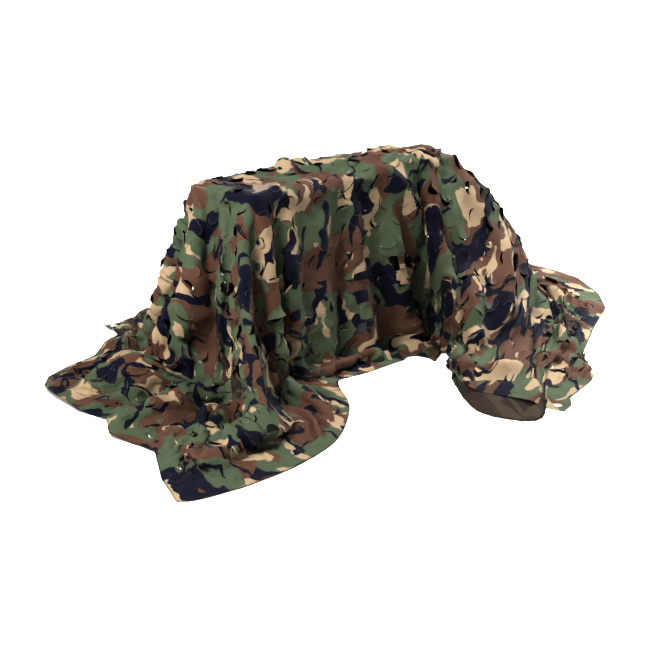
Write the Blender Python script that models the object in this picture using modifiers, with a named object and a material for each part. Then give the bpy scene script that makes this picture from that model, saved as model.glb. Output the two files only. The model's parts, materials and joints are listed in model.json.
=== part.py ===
"""Camouflage net thrown over a narrow low table. Metres, +Z up.

The table's long side runs along X, and the side that faces -Y is the front. The net is a single
rectangle of cloth. It is built from radial folds: each fold line leaves the table's edge, hangs to the
floor and runs out to the hem. Ridges and valleys take turns round the table, and the cloth is a smooth
surface through them. The tables of sizes below are measured from the floor under the middle of the
table, and the finished objects from the middle of the whole footprint.
"""

from collections import namedtuple
from math import hypot

import bmesh
import bpy
import numpy as np
from mathutils import Matrix

# Table
TABLE_LENGTH = 0.89
TABLE_DEPTH = 0.27
TABLE_HEIGHT = 0.556
TOP_THICKNESS = 0.020
LEG_WIDTH = 0.032
LEG_INSET = 0.012
RAIL_HEIGHT = 0.060
RAIL_THICKNESS = 0.018
WOOD_ROUND = 0.002
JOINT_GAP = 0.0003

# Net
CLOTH = 0.002
REST_GAP = 0.0005
EDGE_CLEARANCE = 0.005
EDGE_FADE = 0.05
LIP_OUT = 0.0065
LIP_DROP = 0.008
TURN_SHARE = 0.02
TOP_SHARES = (0.04, 0.50, 0.88, 1.00)
TOP_POINTS = len(TOP_SHARES)
HALF_HEIGHT = 0.28
NOSE_HEIGHT = 0.034
FLIP_HEIGHT = 0.016
HEM_EDGE = 0.004
MARGIN = 0.15
SPINE_HALF = 0.30

# Eyelets, each in a corner of the cloth that lies just off the floor
HOLE_RADIUS = 0.006
NECK_RADIUS = 0.0068
NECK_GAP = 0.0004
FLANGE_RADIUS = 0.011
FLANGE_THICKNESS = 0.0008
FLANGE_GAP = 0.0004
CORNER_GAP = 0.0006
EYELET_SIDES = 24

# One row for each fold line, in order round the table, seen from above anticlockwise.
# edge: metres along the table's edge from its back left corner, first down the left end.
# high, low: how far the line swells out above and below half height. half_x, half_y: its place at half
# height. foot_x, foot_y, foot_z: where it reaches the floor. rise: height between foot and hem.
# bend: how far the line bows sideways there. hem_x, hem_y: the outer end.
# tuck: how far the cloth doubles back under its own nose before the hem. flip: width of hem turned over.
Fold = namedtuple("Fold", "edge high half_x half_y low foot_x foot_y foot_z rise bend hem_x hem_y tuck flip")
FOLDS = [
    Fold(*row)
    for row in (
        # left end
        (-0.020, 0.00, -0.480, 0.23, 0.00, -0.50, 0.32, 0.03, 0.02, 0.00, -0.44, 0.52, 0.00, 0.00),
        (0.000, 0.00, -0.500, 0.18, 0.01, -0.55, 0.27, 0.06, 0.06, 0.00, -0.53, 0.47, 0.00, 0.00),
        (0.014, 0.00, -0.480, 0.14, 0.00, -0.54, 0.21, 0.01, 0.00, 0.00, -0.61, 0.41, 0.00, 0.00),
        (0.028, 0.00, -0.540, 0.11, 0.01, -0.60, 0.17, 0.06, 0.06, 0.00, -0.74, 0.36, 0.00, 0.00),
        (0.040, 0.00, -0.520, 0.07, 0.00, -0.60, 0.10, 0.04, 0.04, 0.00, -0.84, 0.33, 0.00, 0.00),
        (0.058, 0.01, -0.595, 0.02, 0.04, -0.62, 0.05, 0.07, 0.09, 0.00, -0.91, 0.25, 0.00, 0.00),
        (0.078, 0.01, -0.590, -0.03, 0.04, -0.63, -0.01, 0.06, 0.09, 0.00, -0.93, 0.17, 0.00, 0.00),
        (0.098, 0.00, -0.540, -0.05, 0.01, -0.62, -0.05, 0.03, 0.06, 0.02, -0.945, 0.04, 0.00, 0.00),
        (0.118, 0.00, -0.505, -0.05, 0.00, -0.60, -0.09, 0.00, 0.00, 0.03, -0.93, -0.01, 0.00, 0.00),
        (0.142, 0.00, -0.520, -0.08, 0.00, -0.63, -0.14, 0.04, 0.06, 0.02, -0.93, -0.06, 0.00, 0.00),
        (0.160, 0.00, -0.540, -0.10, 0.00, -0.65, -0.19, 0.06, 0.07, 0.00, -1.00, -0.17, 0.00, 0.00),
        (0.178, 0.00, -0.520, -0.12, 0.00, -0.63, -0.23, 0.00, 0.00, 0.00, -0.98, -0.28, 0.00, 0.00),
        (0.182, 0.00, -0.545, -0.15, 0.00, -0.66, -0.28, 0.05, 0.05, 0.01, -0.985, -0.34, 0.00, 0.00),
        # left corner of the front
        (0.193, 0.00, -0.540, -0.17, 0.00, -0.68, -0.33, 0.02, 0.02, 0.00, -1.08, -0.48, 0.02, 0.00),
        (0.203, 0.00, -0.555, -0.20, 0.00, -0.70, -0.37, 0.06, 0.05, 0.00, -1.14, -0.61, 0.06, 0.00),
        (0.213, 0.01, -0.570, -0.22, 0.00, -0.72, -0.41, 0.09, 0.07, 0.00, -1.03, -0.65, 0.10, 0.00),
        (0.224, 0.02, -0.580, -0.25, 0.00, -0.70, -0.43, 0.13, 0.09, 0.00, -0.89, -0.66, 0.12, 0.00),
        (0.242, 0.01, -0.562, -0.24, 0.00, -0.66, -0.41, 0.10, 0.06, 0.00, -0.75, -0.65, 0.10, 0.00),
        (0.270, 0.00, -0.455, -0.155, 0.00, -0.47, -0.24, 0.00, 0.00, 0.00, -0.60, -0.61, 0.00, 0.00),
        (0.287, 0.01, -0.450, -0.23, 0.00, -0.46, -0.30, 0.05, 0.03, 0.00, -0.45, -0.51, 0.00, 0.00),
        # front
        (0.325, 0.00, -0.410, -0.17, 0.00, -0.42, -0.22, 0.03, 0.02, 0.00, -0.36, -0.42, 0.00, 0.00),
        (0.370, 0.00, -0.380, -0.145, 0.00, -0.37, -0.19, 0.00, 0.00, 0.00, -0.30, -0.33, 0.00, 0.00),
        (0.405, 0.00, -0.355, -0.215, 0.00, -0.345, -0.23, 0.04, 0.02, 0.00, -0.26, -0.29, 0.00, 0.00),
        (0.455, 0.00, -0.290, -0.165, 0.00, -0.28, -0.21, 0.03, 0.02, 0.00, -0.22, -0.29, 0.03, 0.00),
        (0.530, 0.01, -0.205, -0.195, 0.01, -0.21, -0.22, 0.05, 0.03, 0.00, -0.15, -0.30, 0.05, 0.00),
        (0.600, 0.00, -0.115, -0.145, 0.00, -0.13, -0.18, 0.02, 0.01, 0.00, -0.09, -0.30, 0.03, 0.00),
        (0.665, 0.00, -0.065, -0.215, 0.01, -0.06, -0.25, 0.04, 0.02, 0.00, -0.02, -0.30, 0.02, 0.00),
        (0.700, 0.00, -0.010, -0.165, 0.00, 0.01, -0.21, 0.02, 0.01, 0.00, 0.02, -0.30, 0.00, 0.00),
        (0.765, 0.00, 0.065, -0.140, 0.00, 0.10, -0.17, 0.00, 0.00, 0.00, 0.06, -0.31, 0.00, 0.00),
        (0.830, 0.00, 0.130, -0.210, 0.00, 0.18, -0.25, 0.05, 0.03, 0.00, 0.10, -0.345, 0.00, 0.00),
        (0.870, 0.00, 0.170, -0.145, 0.00, 0.25, -0.18, 0.00, 0.00, 0.00, 0.13, -0.34, 0.00, 0.00),
        (0.935, 0.02, 0.225, -0.155, 0.00, 0.29, -0.18, 0.01, 0.01, 0.00, 0.16, -0.33, 0.00, 0.00),
        (0.975, 0.00, 0.285, -0.140, 0.00, 0.32, -0.18, 0.00, 0.00, 0.00, 0.20, -0.33, 0.00, 0.00),
        # right corner of the front
        (1.005, 0.01, 0.270, -0.225, 0.03, 0.24, -0.30, 0.05, 0.03, 0.00, 0.17, -0.37, 0.00, 0.00),
        (1.028, 0.01, 0.275, -0.255, 0.05, 0.19, -0.38, 0.05, 0.05, 0.00, 0.08, -0.44, 0.00, 0.00),
        (1.052, 0.01, 0.295, -0.270, 0.03, 0.17, -0.43, 0.02, 0.04, 0.00, 0.00, -0.54, 0.03, 0.06),
        (1.078, 0.02, 0.340, -0.290, 0.06, 0.18, -0.47, 0.04, 0.05, 0.00, -0.10, -0.66, 0.06, 0.10),
        (1.104, 0.02, 0.415, -0.275, 0.01, 0.25, -0.46, 0.02, 0.04, 0.00, -0.17, -0.77, 0.08, 0.13),
        (1.126, 0.03, 0.490, -0.300, 0.06, 0.31, -0.49, 0.04, 0.05, 0.00, -0.15, -0.88, 0.08, 0.13),
        (1.144, 0.04, 0.545, -0.290, 0.03, 0.40, -0.48, 0.02, 0.02, 0.00, -0.06, -0.890, 0.02, 0.00),
        (1.160, 0.04, 0.580, -0.275, 0.02, 0.49, -0.46, 0.03, 0.02, 0.00, 0.04, -0.840, 0.00, 0.00),
        (1.174, 0.05, 0.610, -0.260, 0.01, 0.57, -0.43, 0.01, 0.00, 0.00, 0.13, -0.860, 0.00, 0.00),
        (1.187, 0.05, 0.635, -0.250, 0.01, 0.65, -0.40, 0.05, 0.05, 0.00, 0.29, -0.82, 0.00, 0.00),
        # right end
        (1.200, 0.05, 0.655, -0.235, 0.01, 0.72, -0.34, 0.00, 0.00, 0.00, 0.43, -0.68, 0.00, 0.00),
        (1.213, 0.05, 0.670, -0.220, 0.00, 0.78, -0.28, 0.05, 0.06, 0.00, 0.57, -0.61, 0.00, 0.00),
        (1.226, 0.05, 0.680, -0.205, 0.00, 0.82, -0.22, 0.00, 0.00, 0.00, 0.76, -0.51, 0.00, 0.00),
        (1.239, 0.05, 0.688, -0.185, 0.00, 0.87, -0.17, 0.04, 0.04, 0.00, 0.92, -0.44, 0.00, 0.00),
        (1.253, 0.04, 0.690, -0.165, 0.00, 0.88, -0.12, 0.01, 0.01, 0.00, 1.07, -0.31, 0.00, 0.00),
        (1.270, 0.04, 0.685, -0.140, 0.00, 0.90, -0.07, 0.04, 0.05, 0.00, 1.17, -0.15, 0.00, 0.00),
        (1.290, 0.03, 0.660, -0.105, 0.00, 0.88, -0.01, 0.01, 0.01, 0.00, 1.22, -0.03, 0.00, 0.00),
        (1.312, 0.02, 0.620, -0.060, 0.00, 0.84, 0.05, 0.06, 0.07, 0.00, 1.20, 0.10, 0.00, 0.00),
        (1.340, 0.01, 0.550, -0.010, 0.00, 0.66, 0.07, 0.01, 0.00, 0.00, 1.17, 0.21, 0.00, 0.00),
        (1.370, 0.01, 0.560, 0.060, 0.00, 0.66, 0.15, 0.05, 0.01, 0.00, 1.085, 0.355, 0.00, 0.00),
        (1.400, 0.00, 0.530, 0.130, 0.00, 0.60, 0.22, 0.01, 0.01, 0.00, 0.98, 0.46, 0.00, 0.00),
        # back
        (1.430, 0.01, 0.510, 0.210, 0.00, 0.55, 0.32, 0.06, 0.06, 0.00, 0.84, 0.57, 0.00, 0.00),
        (1.500, 0.00, 0.400, 0.150, 0.00, 0.42, 0.20, 0.00, 0.00, 0.00, 0.67, 0.53, 0.00, 0.00),
        (1.580, 0.00, 0.300, 0.200, 0.00, 0.31, 0.27, 0.05, 0.05, 0.00, 0.50, 0.62, 0.00, 0.00),
        (1.660, 0.00, 0.190, 0.150, 0.00, 0.20, 0.20, 0.00, 0.00, 0.00, 0.34, 0.57, 0.00, 0.00),
        (1.740, 0.01, 0.115, 0.205, 0.00, 0.12, 0.28, 0.06, 0.06, 0.00, 0.20, 0.66, 0.00, 0.00),
        (1.830, 0.00, 0.010, 0.150, 0.00, 0.02, 0.19, 0.00, 0.00, 0.00, 0.07, 0.60, 0.00, 0.00),
        (1.920, 0.00, -0.090, 0.190, 0.00, -0.09, 0.25, 0.05, 0.05, 0.00, -0.04, 0.65, 0.00, 0.00),
        (2.010, 0.00, -0.180, 0.150, 0.00, -0.18, 0.19, 0.00, 0.00, 0.00, -0.13, 0.61, 0.00, 0.00),
        (2.085, 0.01, -0.260, 0.205, 0.00, -0.27, 0.28, 0.06, 0.05, 0.00, -0.20, 0.67, 0.00, 0.00),
        (2.155, 0.00, -0.345, 0.160, 0.00, -0.35, 0.22, 0.01, 0.01, 0.00, -0.28, 0.64, 0.00, 0.00),
        (2.215, 0.01, -0.430, 0.230, 0.00, -0.43, 0.33, 0.05, 0.01, 0.00, -0.365, 0.58, 0.00, 0.00),
    )
]

# Soft ridges that cross the table top, from start to end: height, half width.
Ridge = namedtuple("Ridge", "start_x start_y end_x end_y height width")
TOP_RIDGES = [
    Ridge(-0.30, 0.10, 0.05, 0.09, 0.010, 0.030),
    Ridge(-0.02, 0.11, 0.21, -0.14, 0.026, 0.034),
    Ridge(0.25, 0.02, 0.30, -0.15, 0.020, 0.030),
    Ridge(0.40, 0.02, 0.46, -0.10, 0.012, 0.040),
]


# Corners of the cloth that carry an eyelet: the fold line that ends there, its tip, and the eyelet's place.
Corner = namedtuple("Corner", "name edge tip_x tip_y eyelet_x eyelet_y")
CORNERS = [
    Corner("front_right", 1.160, -0.002, -0.922, 0.020, -0.886),
    Corner("back_right", 1.370, 1.150, 0.430, 1.124, 0.401),
    Corner("back_left", 2.215, -0.405, 0.645, -0.387, 0.615),
]

# Where the cloth is sampled for its solid, in fold lines round it and in points of fold_points() outwards.
ROUND_SHARES = np.arange(0, len(FOLDS), 0.5)
OUT_SHARES = (0, 1, 2, 3, 4, 4.5, 5, 6, 7, 7.5, 8, 8.5, 9, 10, 10.5, 11, 12, 13)


def smooth(share):
    share = np.clip(share, 0, 1)
    return share * share * (3 - 2 * share)


def edge_point(distance):
    """Place and outward direction on the table's edge, from its back left corner anticlockwise."""
    half_x, half_y = TABLE_LENGTH / 2, TABLE_DEPTH / 2
    walk = distance % (2 * (TABLE_LENGTH + TABLE_DEPTH))
    sides = (
        (TABLE_DEPTH, (-half_x, half_y), (0, -1), (-1, 0)),
        (TABLE_LENGTH, (-half_x, -half_y), (1, 0), (0, -1)),
        (TABLE_DEPTH, (half_x, -half_y), (0, 1), (1, 0)),
        (TABLE_LENGTH, (half_x, half_y), (-1, 0), (0, 1)),
    )
    for length, start, along, out in sides:
        if walk <= length:
            break
        walk -= length
    return np.array(start) + walk * np.array(along, float), np.array(out, float)


def edge_line(distance):
    """The edge point, and its direction averaged over a short stretch, which turns it smoothly at a corner."""
    outs = [edge_point(distance + step)[1] for step in np.linspace(-TURN_SHARE, TURN_SHARE, 9)]
    out = np.mean(outs, axis=0)
    return edge_point(distance)[0], out / np.linalg.norm(out)


def top_height(place):
    """Height of the cloth's underside where it lies on the table top."""
    inside = min(TABLE_LENGTH / 2 - abs(place[0]), TABLE_DEPTH / 2 - abs(place[1]))
    lift = REST_GAP + (EDGE_CLEARANCE - REST_GAP) * (1 - smooth(inside / EDGE_FADE))
    for ridge in TOP_RIDGES:
        start = np.array((ridge.start_x, ridge.start_y))
        along = np.array((ridge.end_x, ridge.end_y)) - start
        share = np.clip(np.dot(place - start, along) / np.dot(along, along), 0, 1)
        away = hypot(*(place - start - share * along)) / ridge.width
        lift += ridge.height * np.exp(-away * away)
    return TABLE_HEIGHT + lift


def fold_points(fold):
    """The points that one fold line passes through, from the middle of the table top to the hem."""
    edge, out = edge_line(fold.edge)
    half = np.array((fold.half_x, fold.half_y))
    foot = np.array((fold.foot_x, fold.foot_y))
    hem = np.array((fold.hem_x, fold.hem_y))
    spine = np.array((np.clip(edge[0], -SPINE_HALF, SPINE_HALF), 0.0))
    points = []
    for share in TOP_SHARES:
        place = spine + share * (edge - spine)
        points.append((*place, top_height(place)))

    lip = edge + LIP_OUT * out
    points.append((*lip, top_height(edge) - EDGE_CLEARANCE - LIP_DROP))
    lean = (foot - lip) / np.linalg.norm(foot - lip)
    quarter = lip + 0.42 * (half - lip) + fold.high * lean
    points.append((*quarter, (TABLE_HEIGHT + HALF_HEIGHT) / 2))
    points.append((*half, HALF_HEIGHT))
    low = half + 0.5 * (foot - half) + fold.low * lean
    points.append((*low, 0.38 * HALF_HEIGHT + 0.62 * fold.foot_z))
    points.append((*foot, fold.foot_z))

    reach = np.linalg.norm(hem - foot)
    run = (hem - foot) / reach
    margin = min(MARGIN, 0.45 * reach)
    nose = hem - margin * run
    under = nose + (0.25 * margin - fold.tuck) * run
    tucked = smooth(fold.tuck / 0.04)
    crest = (foot + nose) / 2 + fold.bend * np.array((run[1], -run[0]))
    points.append((*crest, fold.rise))
    points.append((*nose, max(0.55 * fold.rise, NOSE_HEIGHT * tucked)))
    points.append((*under, 0.35 * fold.rise * (1 - tucked)))
    points.append((*hem, 0.20 * fold.rise * (1 - tucked)))
    turned = hem - (fold.flip - HEM_EDGE) * run
    points.append((*turned, max(points[-1][2], FLIP_HEIGHT * smooth(fold.flip / 0.06))))
    return np.array(points)


def through(points, shares, closed=False):
    """Points on the smooth curve through points, at shares counted in points."""
    count = len(points)
    result = []
    for share in shares:
        start = int(share) if closed else min(int(share), count - 2)
        part = share - start
        if closed:
            a, b, c, d = (points[(start + step) % count] for step in (-1, 0, 1, 2))
        else:
            b, c = points[start], points[start + 1]
            a = points[start - 1] if start else 2 * b - c
            d = points[start + 2] if start + 2 < count else 2 * c - b
        slope_b, slope_c = (c - a) / 2, (d - b) / 2
        result.append(
            b * (2 * part**3 - 3 * part**2 + 1)
            + slope_b * (part**3 - 2 * part**2 + part)
            + c * (3 * part**2 - 2 * part**3)
            + slope_c * (part**3 - part**2)
        )
    return np.array(result)


def drape(round_shares, out_shares):
    """Grid of points on the cloth's underside: one line out for each share round the table."""
    folds = np.array([fold_points(fold) for fold in FOLDS])
    lines = through(folds, round_shares, closed=True)
    grid = np.array([through(line, out_shares) for line in lines])
    lowest = np.where(np.array(out_shares) <= TOP_POINTS - 1, TABLE_HEIGHT + REST_GAP, 0.0)
    grid[:, :, 2] = np.maximum(grid[:, :, 2], lowest)
    return grid


def material(name, color, roughness, metallic=0.0):
    made = bpy.data.materials.new(name)
    made.use_nodes = True
    shader = made.node_tree.nodes["Principled BSDF"]
    shader.inputs["Base Color"].default_value = (*color, 1.0)
    shader.inputs["Roughness"].default_value = roughness
    shader.inputs["Metallic"].default_value = metallic
    return made


def add_object(name, mesh, finish, collection):
    made = bpy.data.objects.new(name, mesh)
    mesh.materials.append(finish)
    collection.objects.link(made)
    return made


def add_thickness(obj, thickness):
    """Thickens an open surface on the side that its faces point to."""
    shell = obj.modifiers.new("thickness", "SOLIDIFY")
    shell.thickness = thickness
    shell.offset = 1.0


def net_cloth(centre, finish, collection):
    grid = drape(ROUND_SHARES, OUT_SHARES)
    grid[:, :, :2] -= centre
    cloth = bmesh.new()
    lines = [[cloth.verts.new(point) for point in line] for line in grid]
    for left, right in zip(lines, lines[1:] + lines[:1]):
        for step in range(len(left) - 1):
            cloth.faces.new((left[step], left[step + 1], right[step + 1], right[step]))
    cloth.faces.new([line[0] for line in lines])
    mesh = bpy.data.meshes.new("net_cloth")
    bmesh.ops.recalc_face_normals(cloth, faces=cloth.faces)
    if max(cloth.faces, key=lambda face: face.calc_center_median().z).normal.z < 0:
        bmesh.ops.reverse_faces(cloth, faces=cloth.faces)
    cloth.to_mesh(mesh)
    cloth.free()
    mesh.shade_smooth()
    add_thickness(add_object("net_cloth", mesh, finish, collection), CLOTH)


def cloth_corner(corner, centre, finish, collection, cutters):
    """The cloth's corner beyond its eyelet's inner side, cut along the outermost points of the net."""
    line = next(index for index, fold in enumerate(FOLDS) if fold.edge == corner.edge)
    shares = np.arange(line - 1, line + 1.01, 0.5)
    edge = drape(shares, OUT_SHARES[-1:])[:, 0, :2]
    along = np.gradient(edge, axis=0)
    along /= np.linalg.norm(along, axis=1)[:, None]
    edge += CORNER_GAP * np.column_stack((along[:, 1], -along[:, 0]))
    outline = np.vstack([edge, (corner.tip_x, corner.tip_y)]) - centre
    height = FLANGE_THICKNESS + FLANGE_GAP
    sheet = bmesh.new()
    sheet.faces.new([sheet.verts.new((*point, height)) for point in outline])
    sheet.normal_update()
    sheet.faces.ensure_lookup_table()
    if sheet.faces[0].normal.z < 0:
        bmesh.ops.reverse_faces(sheet, faces=sheet.faces)
    mesh = bpy.data.meshes.new("corner_" + corner.name)
    sheet.to_mesh(mesh)
    sheet.free()
    patch = add_object("corner_" + corner.name, mesh, finish, collection)
    add_thickness(patch, CLOTH)

    drill = bmesh.new()
    bmesh.ops.create_cone(
        drill,
        cap_ends=True,
        segments=EYELET_SIDES,
        radius1=NECK_RADIUS + NECK_GAP,
        radius2=NECK_RADIUS + NECK_GAP,
        depth=10 * CLOTH,
        matrix=Matrix.Translation((*eyelet_place(corner, centre), height)),
    )
    mesh = bpy.data.meshes.new("drill_" + corner.name)
    drill.to_mesh(mesh)
    drill.free()
    cutter = bpy.data.objects.new("drill_" + corner.name, mesh)
    cutter.hide_render = True
    cutter.display_type = "WIRE"
    cutters.objects.link(cutter)
    hole = patch.modifiers.new("hole", "BOOLEAN")
    hole.object = cutter


def eyelet_place(corner, centre):
    return np.array((corner.eyelet_x, corner.eyelet_y)) - centre


def eyelet(corner, centre, finish, collection):
    """A spool pressed through the cloth: a neck with a flange above and one below."""
    height = 2 * (FLANGE_THICKNESS + FLANGE_GAP) + CLOTH
    profile = (
        (HOLE_RADIUS, 0),
        (HOLE_RADIUS, height),
        (FLANGE_RADIUS, height),
        (FLANGE_RADIUS, height - FLANGE_THICKNESS),
        (NECK_RADIUS, height - FLANGE_THICKNESS),
        (NECK_RADIUS, FLANGE_THICKNESS),
        (FLANGE_RADIUS, FLANGE_THICKNESS),
        (FLANGE_RADIUS, 0),
    )
    ring = bmesh.new()
    points = [ring.verts.new((radius, 0, up)) for radius, up in profile]
    for start, end in zip(points, points[1:] + points[:1]):
        ring.edges.new((start, end))
    mesh = bpy.data.meshes.new("eyelet_" + corner.name)
    ring.to_mesh(mesh)
    ring.free()
    made = add_object("eyelet_" + corner.name, mesh, finish, collection)
    made.location = (*eyelet_place(corner, centre), 0)
    turn = made.modifiers.new("turn", "SCREW")
    turn.steps = turn.render_steps = EYELET_SIDES
    turn.use_merge_vertices = True
    turn.merge_threshold = 0.00001


def board(name, size, place, centre, rounding, finish, collection):
    """A wooden block of a size, with its middle at place from the table's own middle."""
    block = bmesh.new()
    bmesh.ops.create_cube(block, size=1.0, matrix=Matrix.Diagonal((*size, 1)))
    mesh = bpy.data.meshes.new(name)
    block.to_mesh(mesh)
    block.free()
    made = add_object(name, mesh, finish, collection)
    made.location = (place[0] - centre[0], place[1] - centre[1], place[2])
    bevel = made.modifiers.new("rounding", "BEVEL")
    bevel.width = rounding
    bevel.segments = 2


def table(centre, finish, collection):
    top_z = TABLE_HEIGHT - TOP_THICKNESS / 2
    board("table_top", (TABLE_LENGTH, TABLE_DEPTH, TOP_THICKNESS), (0, 0, top_z), centre, WOOD_ROUND, finish,
          collection)
    leg_height = TABLE_HEIGHT - TOP_THICKNESS - JOINT_GAP
    leg_x = TABLE_LENGTH / 2 - LEG_INSET - LEG_WIDTH / 2
    leg_y = TABLE_DEPTH / 2 - LEG_INSET - LEG_WIDTH / 2
    for side_x, end in ((-1, "left"), (1, "right")):
        for side_y, face in ((-1, "front"), (1, "back")):
            board(f"leg_{face}_{end}", (LEG_WIDTH, LEG_WIDTH, leg_height),
                  (side_x * leg_x, side_y * leg_y, leg_height / 2), centre, WOOD_ROUND, finish, collection)
    rail_z = leg_height - RAIL_HEIGHT / 2
    long_rail = 2 * leg_x - LEG_WIDTH - 2 * JOINT_GAP
    short_rail = 2 * leg_y - LEG_WIDTH - 2 * JOINT_GAP
    for side, face in ((-1, "front"), (1, "back")):
        board(f"rail_{face}", (long_rail, RAIL_THICKNESS, RAIL_HEIGHT), (0, side * leg_y, rail_z), centre,
              WOOD_ROUND, finish, collection)
    for side, end in ((-1, "left"), (1, "right")):
        board(f"rail_{end}", (RAIL_THICKNESS, short_rail, RAIL_HEIGHT), (side * leg_x, 0, rail_z), centre,
              WOOD_ROUND, finish, collection)


def footprint_centre():
    """The middle of the box round the cloth on the floor, measured from the table's own middle."""
    outline = drape(ROUND_SHARES, OUT_SHARES)[:, :, :2].reshape(-1, 2)
    tips = [(corner.tip_x, corner.tip_y) for corner in CORNERS]
    points = np.vstack([outline, tips])
    return (points.min(axis=0) + points.max(axis=0)) / 2


def main():
    for obj in list(bpy.data.objects):
        bpy.data.objects.remove(obj, do_unlink=True)
    model = bpy.data.collections.new("camouflage_net_over_table")
    cutters = bpy.data.collections.new("cutters")
    bpy.context.scene.collection.children.link(model)
    bpy.context.scene.collection.children.link(cutters)
    camouflage = material("camouflage_cloth", (0.14, 0.15, 0.10), 0.85)
    metal = material("eyelet_metal", (0.45, 0.44, 0.40), 0.35, 1.0)
    wood = material("table_wood", (0.56, 0.42, 0.27), 0.55)
    centre = footprint_centre()
    net_cloth(centre, camouflage, model)
    for corner in CORNERS:
        cloth_corner(corner, centre, camouflage, model, cutters)
        eyelet(corner, centre, metal, model)
    table(centre, wood, model)


main()
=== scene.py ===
"""Camouflage net thrown over a narrow low table, standing on a pale studio floor.

The cloth is one rectangle, made first as it was cut, flat. Each point of it is then laid on the drape, which
is a set of fold lines that leave the table's edge, hang to the floor and run out to the hem. The laid cloth
is relaxed until it nearly has its cut lengths again, which buckles it into small folds. The leaf cuts, the
lining side, the turned hem and its stitching follow the relaxed cloth.

Metres, +Z up. The tables of sizes are measured from the floor under the middle of the table.
"""

import json
from collections import namedtuple
from math import cos, pi, radians, sin

import bmesh
import bpy
import numpy as np
from mathutils import Matrix, Vector
from mathutils.bvhtree import BVHTree

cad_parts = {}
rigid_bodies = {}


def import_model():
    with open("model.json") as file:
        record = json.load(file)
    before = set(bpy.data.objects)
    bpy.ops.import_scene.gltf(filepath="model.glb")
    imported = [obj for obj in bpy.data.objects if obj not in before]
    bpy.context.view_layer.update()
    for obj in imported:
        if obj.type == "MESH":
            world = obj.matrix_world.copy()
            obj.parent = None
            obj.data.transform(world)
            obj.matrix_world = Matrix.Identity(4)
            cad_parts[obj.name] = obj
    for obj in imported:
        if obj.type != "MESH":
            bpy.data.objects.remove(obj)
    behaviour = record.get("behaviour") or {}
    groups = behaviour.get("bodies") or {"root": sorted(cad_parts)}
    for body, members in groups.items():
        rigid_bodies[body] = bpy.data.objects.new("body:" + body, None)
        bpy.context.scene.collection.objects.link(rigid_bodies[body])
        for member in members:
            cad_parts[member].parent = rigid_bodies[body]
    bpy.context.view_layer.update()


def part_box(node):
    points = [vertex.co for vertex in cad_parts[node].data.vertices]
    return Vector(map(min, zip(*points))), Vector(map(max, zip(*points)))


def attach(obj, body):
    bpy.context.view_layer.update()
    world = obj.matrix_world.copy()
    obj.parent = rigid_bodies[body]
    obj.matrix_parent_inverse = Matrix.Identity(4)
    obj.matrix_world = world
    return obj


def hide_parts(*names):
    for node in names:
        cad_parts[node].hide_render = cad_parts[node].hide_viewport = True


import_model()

# Table, as its solids are
TABLE_LENGTH = 0.89
TABLE_DEPTH = 0.27
TABLE_HEIGHT = 0.556

# The cut cloth, flat: its cells, and how much of it lies left of and behind the table's middle
CELL = 0.008
CELLS_LONG = 363
CELLS_WIDE = 233
CLOTH_LENGTH = CELL * CELLS_LONG
CLOTH_WIDTH = CELL * CELLS_WIDE
CLOTH_LEFT = 1.40
CLOTH_BACK = 1.00
CUT_LOW = np.array((-CLOTH_LEFT, CLOTH_BACK - CLOTH_WIDTH))
CUT_HIGH = np.array((CLOTH_LENGTH - CLOTH_LEFT, CLOTH_BACK))

# How the cloth lies: clear of the table, round its edge and along the floor
REST_GAP = 0.0015
EDGE_CLEARANCE = 0.006
EDGE_FADE = 0.05
TABLE_CLEAR = 0.008
FLOOR_GAP = 0.0025
LIP_OUT = 0.0075
LIP_DROP = 0.008
TURN_STRETCH = 0.02
TURN_SAMPLES = 9
SPINE_HALF = 0.30
TOP_SHARES = (0.04, 0.50, 0.88, 1.00)

# Points of a fold line between the table's edge and the floor, as shares of the way out and of the height
HALF_HEIGHT = 0.28
QUARTER_OUT = 0.42
LOW_OUT = 0.5
LOW_HEIGHT = 0.38

# Its points along the floor: the margin before the hem, its nose, and their heights as shares of the rise
MARGIN = 0.15
MARGIN_SHARE = 0.45
UNDER_SHARE = 0.25
FULL_TUCK = 0.04
NOSE_HEIGHT = 0.034
NOSE_RISE = 0.55
UNDER_RISE = 0.35
HEM_RISE = 0.20
HEM_EDGE = 0.004

# The fine lines: how many for each fold, how many points each has, which of them the cut edge is shared out by,
# and from which point on a line may run straight between two folds
LINES_PER_FOLD = 8
LINE_STEPS = 130
CURVE_STEP = 0.1
HEM_STEP = -8
STRAIGHT_FROM = 8
STRAIGHT_OVER = 3

# Finding a flat point's place between two lines: how far behind a line's start counts, and rounds of halving
BEHIND_SHARE = 0.05
HALVINGS = 24

# Too small to see, so that nothing is divided by nothing
TINY = 1e-12
NO_LENGTH = 1e-9

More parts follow.
